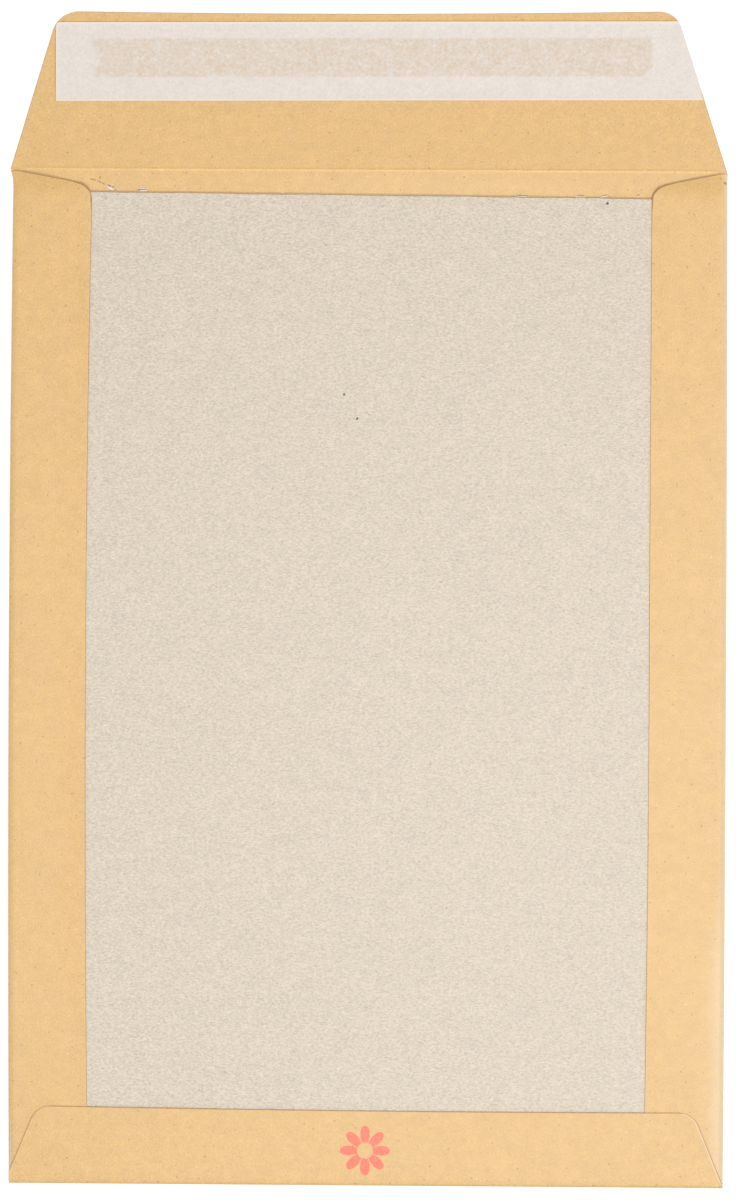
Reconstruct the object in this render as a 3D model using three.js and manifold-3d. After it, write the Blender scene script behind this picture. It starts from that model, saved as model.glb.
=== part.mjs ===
// Board-backed envelope: a manila paper pocket folded round a grey board.
// It lies on its address side with the seal flap open. Millimetres, +Z up, +Y towards the seal flap.
import * as THREE from "three";
import { mergeVertices } from "three/addons/utils/BufferGeometryUtils.js";
import Module from "manifold-3d";

const wasm = await Module();
wasm.setup();

// Sheet materials
const paperThickness = 0.16;
const boardThickness = 0.9;
const gumThickness = 0.06;
const adhesiveThickness = 0.08;
const linerThickness = 0.07;

// Pocket, fold to fold
const pocketWidth = 229;
const pocketHeight = 324;
const pocketGap = 0.4; // the empty pocket lies nearly flat
const foldRelief = 0.4; // small cut that parts two folds where they meet at a corner

// Seal flap
const sealFlapDepth = 50;
const sealFlapSlant = THREE.MathUtils.degToRad(17);
const sealFlapTurn = THREE.MathUtils.degToRad(0.34); // the flap's cut runs slightly off the crease
const sealFlapCornerRadius = 6;

// Side flaps
const sideFlapWidth = 25;
const sideFlapSlant = THREE.MathUtils.degToRad(11.3);
const sideFlapCornerRadius = 6;

// Bottom flap
const bottomFlapDepth = 24.3;
const bottomFlapSlant = THREE.MathUtils.degToRad(22);
const bottomFlapTurn = THREE.MathUtils.degToRad(-0.46);
const bottomFlapShoulder = 2.2; // straight part of each end before the slant
const bottomFlapShift = -0.75; // the flap sits a little to the left
const bottomFlapCornerRadius = 6;

// Backing board
const throatDepth = 7.9; // front panel left bare between the crease and the board
const boardTurn = THREE.MathUtils.degToRad(-0.47); // the board lies slightly turned in the pocket
const boardFoldClearance = 0.4; // from a board corner to where a fold begins to bend

// Gum lines
const sideGumWidth = 14;
const sideGumEndInset = 14;
const bottomGumWidth = 11;
const bottomGumEndInset = 20;

// Release liner and the adhesive strip under it
const linerWidth = 25.2;
const linerTopInset = 2.5; // from the seal flap's free edge
const linerLeftInset = 15; // from the pocket's left side
const adhesiveWidth = 12.3;
const adhesiveLength = 178;
const adhesiveTopInset = 5.4; // from the liner's upper edge
const adhesiveLeftInset = 12.2; // from the liner's left end

// Facets in a rounded corner or a fold
const arcSegments = 10;

// Heights of the stacked sheets, from the table up
const frontInside = paperThickness;
const boardUnderside = frontInside + pocketGap;
const boardFace = boardUnderside + boardThickness;
const sideFlapUnderside = boardFace + gumThickness;
const sideFlapFace = sideFlapUnderside + paperThickness;
const bottomFlapUnderside = sideFlapFace + gumThickness;
const bottomFlapFace = bottomFlapUnderside + paperThickness;
const linerUnderside = frontInside + adhesiveThickness;

// Fold radii on the outer face, and the lines where the flat front ends and the folds begin
const sideFoldRadius = sideFlapFace / 2;
const bottomFoldRadius = bottomFlapFace / 2;
const halfWidth = pocketWidth / 2;
const crease = pocketHeight / 2;
const frontHalfWidth = halfWidth - sideFoldRadius;
const frontFoot = -pocketHeight / 2 + bottomFoldRadius;
const sideFoldTop = crease - foldRelief;
const sideFoldFoot = frontFoot + foldRelief;
const bottomFoldHalfWidth = halfWidth - foldRelief;

// Paper taken up by each fold, and where the flaps begin on the flat blank
const sideBend = Math.PI * (sideFoldRadius - paperThickness / 2);
const bottomBend = Math.PI * (bottomFoldRadius - paperThickness / 2);
const sideFlapRoot = -frontHalfWidth - sideBend;
const bottomFlapRoot = frontFoot - bottomBend;

// Board size: it fills the pocket from the throat down, less its turn and the clearances
const boardFoot = frontFoot + boardFoldClearance + frontHalfWidth * Math.sin(Math.abs(boardTurn));
const boardHeight = crease - throatDepth - boardFoot;
const boardTurnReach = (boardHeight / 2) * Math.sin(Math.abs(boardTurn));
const boardWidth = 2 * (frontHalfWidth - boardFoldClearance - boardTurnReach);

const paper = new THREE.MeshStandardMaterial({ color: "#e9c48b", roughness: 0.85, flatShading: true });
const greyBoard = new THREE.MeshStandardMaterial({ color: "#e0d3c0", roughness: 0.9, flatShading: true });
const gum = new THREE.MeshStandardMaterial({ color: "#dccba2", roughness: 0.6, flatShading: true });
const adhesive = new THREE.MeshStandardMaterial({ color: "#e2cfae", roughness: 0.4, flatShading: true });
const liner = new THREE.MeshStandardMaterial({ color: "#eae1d8", roughness: 0.55, flatShading: true });

// The points that round off a corner between its neighbours, or the corner itself where it is sharp
function cornerPoints(previous, [x, y, radius], next) {
  const corner = new THREE.Vector2(x, y);
  if (!radius) return [corner];
  const before = new THREE.Vector2(...previous).sub(corner).normalize();
  const after = new THREE.Vector2(...next).sub(corner).normalize();
  const half = Math.acos(before.dot(after)) / 2;
  const inward = before.clone().add(after).normalize();
  const centre = corner.clone().addScaledVector(inward, radius / Math.sin(half));
  const start = corner.clone().addScaledVector(before, radius / Math.tan(half)).sub(centre);
  const end = corner.clone().addScaledVector(after, radius / Math.tan(half)).sub(centre);
  const arc = new THREE.EllipseCurve(centre.x, centre.y, radius, radius, start.angle(), end.angle());
  return arc.getPoints(arcSegments);
}

// A closed contour, anticlockwise, through corners given as [x, y] or [x, y, radius]
function contour(corners) {
  const next = (i) => corners[(i + 1) % corners.length];
  return corners.flatMap((corner, i) => cornerPoints(corners.at(i - 1), corner, next(i)));
}

// The same corners seen in a mirror across the envelope's middle line
function mirrored(corners) {
  return corners.map(([x, ...rest]) => [-x, ...rest]).reverse();
}

// A flat sheet of the given corners, lying at a height
function sheet(corners, height, thickness) {
  const options = { depth: thickness, bevelEnabled: false };
  return new THREE.ExtrudeGeometry(new THREE.Shape(contour(corners)), options).translate(0, 0, height);
}

// Solids for joining and cutting
function solidOf(geometry) {
  const bare = geometry.clone();
  bare.deleteAttribute("normal");
  bare.deleteAttribute("uv");
  const welded = mergeVertices(bare);
  const mesh = new wasm.Mesh({
    numProp: 3,
    vertProperties: new Float32Array(welded.attributes.position.array),
    triVerts: new Uint32Array(welded.index.array),
  });
  return new wasm.Manifold(mesh);
}

function geometryOf(solid) {
  const mesh = solid.getMesh();
  const geometry = new THREE.BufferGeometry();
  geometry.setAttribute("position", new THREE.BufferAttribute(mesh.vertProperties, 3));
  geometry.setIndex(new THREE.BufferAttribute(mesh.triVerts, 1));
  geometry.computeVertexNormals();
  return geometry;
}

function joined(geometries) {
  return geometryOf(wasm.Manifold.union(geometries.map(solidOf)));
}

function common(first, second) {
  return geometryOf(solidOf(first).intersect(solidOf(second)));
}

// A point on the seal flap: x along its free edge, y up from the crease, turned with the flap's cut
function onSealFlap(x, y) {
  const turned = new THREE.Vector2(x, y).rotateAround(new THREE.Vector2(), sealFlapTurn);
  return [turned.x, turned.y + crease];
}

// The seal flap's two free corners, right then left
function sealFlapCorners() {
  const edge = halfWidth - sealFlapDepth * Math.tan(sealFlapSlant);
  return [
    [...onSealFlap(edge, sealFlapDepth), sealFlapCornerRadius],
    [...onSealFlap(-edge, sealFlapDepth), sealFlapCornerRadius],
  ];
}

// Front panel and seal flap, flat in one sheet, with a corner wherever a fold begins or ends
function frontCorners() {
  return [
    [-frontHalfWidth, frontFoot],
    [frontHalfWidth, frontFoot],
    [frontHalfWidth, sideFoldFoot],
    [frontHalfWidth, sideFoldTop],
    [frontHalfWidth, crease],
    [halfWidth, crease],
    ...sealFlapCorners(),
    [-halfWidth, crease],
    [-frontHalfWidth, crease],
    [-frontHalfWidth, sideFoldTop],
    [-frontHalfWidth, sideFoldFoot],
  ];
}

// Narrow strips of the flat blank, side by side, that will bend round the left fold
function sideFoldStrips() {
  return Array.from({ length: arcSegments }, (_, i) => {
    const near = -frontHalfWidth - (sideBend * i) / arcSegments;
    const far = -frontHalfWidth - (sideBend * (i + 1)) / arcSegments;
    return [[far, sideFoldFoot], [near, sideFoldFoot], [near, sideFoldTop], [far, sideFoldTop]];
  });
}

// Left side flap on the flat blank: both ends slope in from the fold
function sideFlapCorners() {
  const reach = sideFlapWidth - sideFoldRadius;
  const free = sideFlapRoot - reach;
  const slope = reach * Math.tan(sideFlapSlant);
  return [
    [free, sideFoldFoot + slope, sideFlapCornerRadius],
    [sideFlapRoot, sideFoldFoot],
    [sideFlapRoot, sideFoldTop],
    [free, sideFoldTop - slope, sideFlapCornerRadius],
  ];
}

// Strips that bend round the bottom fold: one as wide as the flat front, and a short one past each end
function bottomFoldStrips() {
  const ends = [-bottomFoldHalfWidth, -frontHalfWidth, frontHalfWidth, bottomFoldHalfWidth];
  return Array.from({ length: arcSegments }, (_, i) => {
    const near = frontFoot - (bottomBend * i) / arcSegments;
    const far = frontFoot - (bottomBend * (i + 1)) / arcSegments;
    return ends.slice(1).map((right, k) => {
      const left = ends[k];
      return [[left, far], [right, far], [right, near], [left, near]];
    });
  }).flat();
}

// One end of the bottom flap: a straight shoulder, then a slant up to the flap's free edge
function bottomFlapEnd(side) {
  const root = side * bottomFoldHalfWidth;
  const lean = Math.tan(bottomFlapSlant);
  const edgeSlope = Math.tan(bottomFlapTurn);
  const shifted = bottomFlapShoulder + (side * bottomFlapShift) / lean;
  const shoulder = Math.max(shifted - bottomFoldRadius, foldRelief);
  const edge = bottomFlapDepth - bottomFoldRadius + root * edgeSlope;
  const rise = (edge - shoulder) / (1 + side * lean * edgeSlope);
  return {
    root: [root, bottomFlapRoot],
    shoulder: [root, bottomFlapRoot - shoulder],
    corner: [root - side * lean * rise, bottomFlapRoot - shoulder - rise, bottomFlapCornerRadius],
  };
}

function bottomFlapCorners() {
  const right = bottomFlapEnd(1);
  const left = bottomFlapEnd(-1);
  const front = [[frontHalfWidth, bottomFlapRoot], [-frontHalfWidth, bottomFlapRoot]];
  return [left.corner, right.corner, right.shoulder, right.root, ...front, left.root, left.shoulder];
}

// How far paper has come round a fold after a given length; depth counts from its outer face
function roundFold(length, radius, bend, depth) {
  if (length > bend) return { reach: bend - length, height: 2 * radius - depth };
  const angle = (Math.PI * length) / bend;
  return {
    reach: (radius - depth) * Math.sin(angle),
    height: radius - (radius - depth) * Math.cos(angle),
  };
}

// Where points of the flat blank go: left flat, round a side fold, or round the bottom fold
const flat = (point, depth) => new THREE.Vector3(point.x, point.y, depth);

function roundSide(point, depth) {
  const length = Math.abs(point.x) - frontHalfWidth;
  const { reach, height } = roundFold(length, sideFoldRadius, sideBend, depth);
  return new THREE.Vector3(Math.sign(point.x) * (frontHalfWidth + reach), point.y, height);
}

function roundFoot(point, depth) {
  const { reach, height } = roundFold(frontFoot - point.y, bottomFoldRadius, bottomBend, depth);
  return new THREE.Vector3(point.x, frontFoot - reach, height);
}

// A sheet of paper from zones of a flat blank, each put in its folded place: two faces and a cut edge
function foldedSheet(zones) {
  const edgeName = (from, to) => [from, to].map((p) => p.toArray().map((v) => v.toFixed(4))).join(" to ");
  const edgesOf = (points) => points.map((point, i) => [point, points[(i + 1) % points.length]]);
  const edges = new Set(zones.flatMap(({ points }) => edgesOf(points).map(([a, b]) => edgeName(a, b))));
  const corners = [];
  for (const { points, place } of zones) {
    const outer = points.map((point) => place(point, 0));
    const inner = points.map((point) => place(point, paperThickness));
    for (const [a, b, c] of THREE.ShapeUtils.triangulateShape(points, [])) {
      corners.push(inner[a], inner[b], inner[c], outer[a], outer[c], outer[b]);
    }
    edgesOf(points).forEach(([from, to], i) => {
      if (edges.has(edgeName(to, from))) return;
      const j = (i + 1) % points.length;
      corners.push(outer[i], outer[j], inner[j], outer[i], inner[j], inner[i]);
    });
  }
  const welded = mergeVertices(new THREE.BufferGeometry().setFromPoints(corners));
  welded.computeVertexNormals();
  return welded;
}

// The paper: front panel with the seal flap, side flaps and bottom flap folded over the board
function envelopePaper() {
  const sides = [...sideFoldStrips(), sideFlapCorners()];
  const foot = [...bottomFoldStrips(), bottomFlapCorners()];
  return foldedSheet([
    { points: contour(frontCorners()), place: flat },
    ...sides.map((corners) => ({ points: contour(corners), place: roundSide })),
    ...sides.map((corners) => ({ points: contour(mirrored(corners)), place: roundSide })),
    ...foot.map((corners) => ({ points: contour(corners), place: roundFoot })),
  ]);
}

// Glue between a side flap and the board
function sideGum() {
  const flapEnd = sideFlapWidth * Math.tan(sideFlapSlant);
  const length = sideFoldTop - sideFoldFoot - 2 * (flapEnd + sideGumEndInset);
  return new THREE.BoxGeometry(sideGumWidth, length, gumThickness);
}

// Glue under the bottom flap: thin over the side flaps, deeper down to the board between them
function bottomGum() {
  const length = pocketWidth - 2 * bottomGumEndInset;
  const between = pocketWidth - 2 * (sideFlapWidth + foldRelief);
  const depth = bottomFlapUnderside - boardFace;
  const overFlaps = new THREE.BoxGeometry(length, bottomGumWidth, gumThickness);
  const overBoard = new THREE.BoxGeometry(between, bottomGumWidth, depth);
  overFlaps.translate(0, 0, bottomFlapUnderside - gumThickness / 2);
  overBoard.translate(0, 0, bottomFlapUnderside - depth / 2);
  return joined([overFlaps, overBoard]);
}

// Release liner: a straight band cut off flush with the seal flap's right side
function releaseLiner() {
  const top = sealFlapDepth - linerTopInset;
  const left = -halfWidth + linerLeftInset;
  const band = [
    onSealFlap(left, top - linerWidth),
    onSealFlap(pocketWidth, top - linerWidth),
    onSealFlap(pocketWidth, top),
    onSealFlap(left, top),
  ];
  return common(
    sheet(band, linerUnderside, linerThickness),
    sheet(frontCorners(), linerUnderside - linerThickness, 3 * linerThickness),
  );
}

function sealAdhesive() {
  const top = sealFlapDepth - linerTopInset - adhesiveTopInset;
  const left = -halfWidth + linerLeftInset + adhesiveLeftInset;
  const strip = [
    onSealFlap(left, top - adhesiveWidth),
    onSealFlap(left + adhesiveLength, top - adhesiveWidth),
    onSealFlap(left + adhesiveLength, top),
    onSealFlap(left, top),
  ];
  return sheet(strip, frontInside, adhesiveThickness);
}

function part(name, geometry, material) {
  const mesh = new THREE.Mesh(geometry, material);
  mesh.name = name;
  return mesh;
}

const folded = new THREE.Group();
folded.name = "folded_envelope";
folded.add(part("envelope_paper", envelopePaper(), paper));

const boardGeometry = new THREE.BoxGeometry(boardWidth, boardHeight, boardThickness);
const board = part("backing_board", boardGeometry, greyBoard);
board.position.set(0, boardFoot + boardHeight / 2, boardUnderside + boardThickness / 2);
board.rotation.z = boardTurn;
folded.add(board);

const seams = new THREE.Group();
seams.name = "seams";
const leftGum = part("left_seam_gum", sideGum(), gum);
const rightGum = part("right_seam_gum", sideGum(), gum);
const gumCentre = halfWidth - sideFlapWidth / 2;
const gumLevel = boardFace + gumThickness / 2;
leftGum.position.set(-gumCentre, (sideFoldTop + sideFoldFoot) / 2, gumLevel);
rightGum.position.set(gumCentre, (sideFoldTop + sideFoldFoot) / 2, gumLevel);
const footGum = part("bottom_seam_gum", bottomGum(), gum);
footGum.position.y = -pocketHeight / 2 + bottomFlapDepth / 2;
seams.add(leftGum, rightGum, footGum);
folded.add(seams);

folded.add(part("seal_adhesive", sealAdhesive(), adhesive));
folded.add(part("release_liner", releaseLiner(), liner));

// The part's frame: origin under the middle of the whole outline
const box = new THREE.Box3().setFromObject(folded);
folded.position.y = -(box.min.y + box.max.y) / 2;

const envelope = new THREE.Group();
envelope.name = "board_backed_envelope";
envelope.add(folded);

export default envelope;
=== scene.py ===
"""Board-backed envelope, lying open on a pale floor and seen from straight above.

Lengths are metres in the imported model's frame: X runs across the envelope, Y from its foot to the
free edge of the seal flap, and Z up from the surface that the envelope lies on.
"""

import logging
import math
from dataclasses import dataclass
from enum import Enum
from functools import partial, reduce

import bpy
import numpy as np
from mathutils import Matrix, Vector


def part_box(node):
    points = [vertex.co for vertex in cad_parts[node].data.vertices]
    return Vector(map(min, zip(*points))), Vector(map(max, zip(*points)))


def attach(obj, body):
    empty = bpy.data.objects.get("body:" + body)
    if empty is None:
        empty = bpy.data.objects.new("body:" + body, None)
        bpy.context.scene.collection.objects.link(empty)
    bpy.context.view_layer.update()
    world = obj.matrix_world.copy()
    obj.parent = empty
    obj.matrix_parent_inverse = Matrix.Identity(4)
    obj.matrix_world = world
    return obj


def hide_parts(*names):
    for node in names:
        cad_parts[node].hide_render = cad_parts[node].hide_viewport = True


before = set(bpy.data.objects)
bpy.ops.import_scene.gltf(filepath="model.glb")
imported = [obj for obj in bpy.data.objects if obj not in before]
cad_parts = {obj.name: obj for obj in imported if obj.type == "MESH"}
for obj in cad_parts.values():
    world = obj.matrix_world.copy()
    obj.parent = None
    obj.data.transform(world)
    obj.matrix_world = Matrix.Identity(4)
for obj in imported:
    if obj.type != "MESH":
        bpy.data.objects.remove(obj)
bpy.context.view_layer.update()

LOG = logging.getLogger("envelope")
MM = 0.001
BODY = "root"
WELD_STEP = 1e-7
SHARP_ANGLE = math.radians(50)
WHITE = (1.0, 1.0, 1.0, 1.0)

Array = np.ndarray
Colour = tuple[float, float, float, float]
Pair = tuple[float, float]
Point = tuple[float, float, float]
Socket = bpy.types.NodeSocket


class Slot(Enum):
    """Material slots of the part's record."""

    PAPER = "manila_paper"
    BOARD = "grey_board"
    GUM = "seam_gum"
    ADHESIVE = "seal_adhesive"
    LINER = "liner_paper"


class Side(Enum):
    """The envelope's two long sides, as the sign of X."""

    LEFT = -1
    RIGHT = 1

    @property
    def end(self) -> int:
        """Which end of a pair of values belongs to this side: 0 on the left, 1 on the right."""
        return (self.value + 1) // 2


# Curves and grids

def smooth(low: float | Array, high: float | Array, value: Array) -> Array:
    """An S-shaped step: 0 below low, 1 above high, 3t^2 - 2t^3 between.

    Args:
        low: where the step begins.
        high: where the step ends; below low for a falling step.
        value: the points to read.

    Returns:
        The step at each point.
    """
    t = np.clip((value - low) / (high - low), 0.0, 1.0)
    return t * t * (3.0 - 2.0 * t)


def bell(distance: Array, width: float | Array) -> Array:
    """A bell curve: 1 in the middle, falling off as e to the minus square of distance over width."""
    return np.exp(-((distance / width) ** 2))


def spread(start: float, end: float, count: int, near_ends: tuple[float, ...]) -> Array:
    """Even samples of a span, with extra ones at fixed distances from both of its ends.

    Args:
        start: first sample.
        end: last sample.
        count: how many even samples.
        near_ends: distances of the extra samples from each end.

    Returns:
        The samples in order.
    """
    extra = np.array(near_ends)
    return np.unique(np.concatenate([np.linspace(start, end, count), start + extra, end - extra]))


@dataclass(frozen=True)
class Ripple:
    """A rough edge: a sum of sines with seeded phases, one for each amount and wave length."""

    amounts: tuple[float, ...]
    lengths: tuple[float, ...]
    seed: int

    def at(self, position: Array) -> Array:
        """How far the edge is off.

        Args:
            position: places along the edge.

        Returns:
            The height at each place.
        """
        phases = np.random.default_rng(self.seed).uniform(0.0, 2.0 * np.pi, len(self.amounts))
        waves = np.sin(2.0 * np.pi * position[..., None] / np.array(self.lengths) + phases)
        return (waves * np.array(self.amounts)).sum(-1)


@dataclass(frozen=True)
class Drift:
    """A slow wave about 1 along a flap: its height, its length, and its start in turns."""

    height: float
    length: float
    start: float = 0.0

    def at(self, along: Array) -> Array:
        """The wave at each place: 1 plus the height times a sine."""
        return 1.0 + self.height * np.sin(2.0 * np.pi * (along / self.length + self.start))


@dataclass
class Patch:
    """One grid of surface points, with the values that the finish reads at each of them.

    The face normal is the column direction crossed with the row direction, or its opposite where
    the patch is flipped.
    """

    points: Array
    flip: bool = False
    values: dict[str, Array] | None = None

    def faces(self, first: int) -> Array:
        """Corner numbers of the grid's cells.

        Args:
            first: number of the grid's first point.

        Returns:
            Four corners for each cell.
        """
        rows, columns = self.points.shape[:2]
        index = first + np.arange(rows * columns).reshape(rows, columns)
        cells = [index[:-1, :-1], index[:-1, 1:], index[1:, 1:], index[1:, :-1]]
        cells = np.stack(cells, axis=-1).reshape(-1, 4)
        return cells[:, ::-1] if self.flip else cells


def mesh_of(name: str, patches: list[Patch]) -> bpy.types.Object:
    """One mesh of patches, sewn together wherever their points meet.

    Points are rounded to the weld step and each is kept once. A cell with two corners in one
    place becomes a triangle, so that poles close.

    Args:
        name: the object's name.
        patches: the grids that make up the surface.

    Returns:
        The new object, linked to the scene.
    """
    points = np.concatenate([patch.points.reshape(-1, 3) for patch in patches])
    firsts = np.cumsum([0] + [patch.points[..., 0].size for patch in patches])
    cells = np.concatenate([patch.faces(first) for patch, first in zip(patches, firsts)])
    keys = np.round(points / WELD_STEP).astype(np.int64)
    _, kept, place = np.unique(keys, axis=0, return_index=True, return_inverse=True)
    cells = place.reshape(-1)[cells]
    doubled = cells == np.roll(cells, -1, axis=1)
    quads = cells[doubled.sum(1) == 0]
    thin = doubled.sum(1) == 1
    triangles = cells[thin][~doubled[thin]].reshape(-1, 3)

    mesh = bpy.data.meshes.new(name)
    mesh.vertices.add(len(kept))
    mesh.vertices.foreach_set("co", points[kept].astype(np.float32).ravel())
    corners = np.concatenate([quads.ravel(), triangles.ravel()]).astype(np.int32)
    starts = np.concatenate([
        np.arange(len(quads)) * 4,
        len(quads) * 4 + np.arange(len(triangles)) * 3,
    ]).astype(np.int32)
    mesh.loops.add(len(corners))
    mesh.loops.foreach_set("vertex_index", corners)
    mesh.polygons.add(len(starts))
    mesh.polygons.foreach_set("loop_start", starts)
    for key in patches[0].values or {}:
        layer = mesh.attributes.new(key, "FLOAT", "POINT")
        level = np.concatenate([patch.values[key].ravel() for patch in patches])
        layer.data.foreach_set("value", level[kept].astype(np.float32))
    mesh.update(calc_edges=True)
    mesh.validate()
    mesh.shade_smooth()
    piece = bpy.data.objects.new(name, mesh)
    bpy.context.scene.collection.objects.link(piece)
    return piece


def thicken(piece: bpy.types.Object, thickness: float) -> None:
    """Gives a sheet its thickness behind its face, and keeps its cut edges sharp.

    Args:
        piece: the sheet, with its face outwards.
        thickness: how thick the sheet is.
    """
    solidify = piece.modifiers.new("thickness", "SOLIDIFY")
    solidify.thickness = thickness
    solidify.offset = -1.0
    depsgraph = bpy.context.evaluated_depsgraph_get()
    solid = bpy.data.meshes.new_from_object(piece.evaluated_get(depsgraph))
    piece.modifiers.clear()
    sheet = piece.data
    piece.data = solid
    name = sheet.name
    bpy.data.meshes.remove(sheet)
    solid.name = name
    solid.set_sharp_from_angle(angle=SHARP_ANGLE)


# Shading

class Nodes:
    """Adds nodes to one tree, laid out in rows, and joins their sockets."""

    row_length = 12
    column_step = 220
    row_step = 260

    def __init__(self, tree: bpy.types.NodeTree) -> None:
        """Starts with an emptied tree."""
        self.tree = tree
        tree.nodes.clear()

    def feed(self, socket: Socket, value: object) -> None:
        """Links a socket to an output, or sets it to a constant.

        Args:
            socket: the input to fill.
            value: the output to link, or the constant.
        """
        if isinstance(value, bpy.types.NodeSocket):
            self.tree.links.new(value, socket)
        else:
            socket.default_value = value

    def add(self, kind: str, sockets: dict | None = None, **settings: object) -> bpy.types.Node:
        """Adds one node.

        Args:
            kind: the node's type name, without its ShaderNode prefix.
            sockets: inputs by name or number, each a constant or an output to link.
            settings: the node's own settings.

        Returns:
            The new node.
        """
        node = self.tree.nodes.new("ShaderNode" + kind)
        row, column = divmod(len(self.tree.nodes), self.row_length)
        node.location = (self.column_step * column, -self.row_step * row)
        for key, value in settings.items():
            setattr(node, key, value)
        for key, value in (sockets or {}).items():
            self.feed(node.inputs[key], value)
        return node

    def math(self, operation: str, first: object, second: object = 0.0, third: object = 0.0) -> Socket:
        """The result of one Math node on up to three values."""
        node = self.add("Math", {0: first, 1: second, 2: third}, operation=operation)
        return node.outputs[0]

    def times(self, first: object, second: object) -> Socket:
        """The product of two values."""
        return self.math("MULTIPLY", first, second)

    def most(self, values: list[Socket]) -> Socket:
        """The largest of several values."""
        return reduce(partial(self.math, "MAXIMUM"), values)

    def total(self, start: object, *parts: tuple[Socket, float]) -> Socket:
        """A start value plus several parts.

        Args:
            start: the value to add to.
            parts: values, each with its weight.

        Returns:
            The sum.
        """
        for value, weight in parts:
            start = self.math("MULTIPLY_ADD", value, weight, start)
        return start

    def vector(self, operation: str, first: object, second: object = (0.0, 0.0, 0.0)) -> Socket:
        """The vector result of one Vector Math node."""
        return self.add("VectorMath", {0: first, 1: second}, operation=operation).outputs[0]

    def scaled(self, vector: object, factor: Socket) -> Socket:
        """A vector or colour times a value."""
        return self.add("VectorMath", {0: vector, "Scale": factor}, operation="SCALE").outputs[0]

    def split(self, vector: Socket) -> tuple[Socket, ...]:
        """The X, Y and Z of a vector."""
        return tuple(self.add("SeparateXYZ", {0: vector}).outputs)

    def turned(self, vector: Socket, angle: Socket) -> Socket:
        """A vector turned about Z."""
        sockets = {"Vector": vector, "Angle": angle}
        return self.add("VectorRotate", sockets, rotation_type="Z_AXIS").outputs[0]

    def step(self, low: float, high: float, value: Socket) -> Socket:
        """A smooth step between two values, which may come in either order.

        Args:
            low: where the step is 0.
            high: where it is 1.
            value: the value to read.

        Returns:
            The step, from 0 to 1.
        """
        flipped = low > high
        sockets = {"Value": value, "From Min": min(low, high), "From Max": max(low, high),
                   "To Min": float(flipped), "To Max": float(not flipped)}
        return self.add("MapRange", sockets, interpolation_type="SMOOTHSTEP").outputs["Result"]

    def tint(self, factor: object, first: object, second: object) -> Socket:
        """Two colours mixed by a factor."""
        return self.add("Mix", {0: factor, 6: first, 7: second}, data_type="RGBA").outputs[2]

    def attribute(self, name: str) -> Socket:
        """A value that the mesh holds at each of its points."""
        return self.add("Attribute", attribute_name=name).outputs["Fac"]

    def group(self, tree: bpy.types.NodeTree, sockets: dict) -> bpy.types.Node:
        """Places a shared group and fills its inputs.

        Args:
            tree: the group.
            sockets: inputs by name, each a constant or an output to link.

        Returns:
            The group's node.
        """
        node = self.add("Group")
        node.node_tree = tree
        for key, value in sockets.items():
            self.feed(node.inputs[key], value)
        return node


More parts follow.
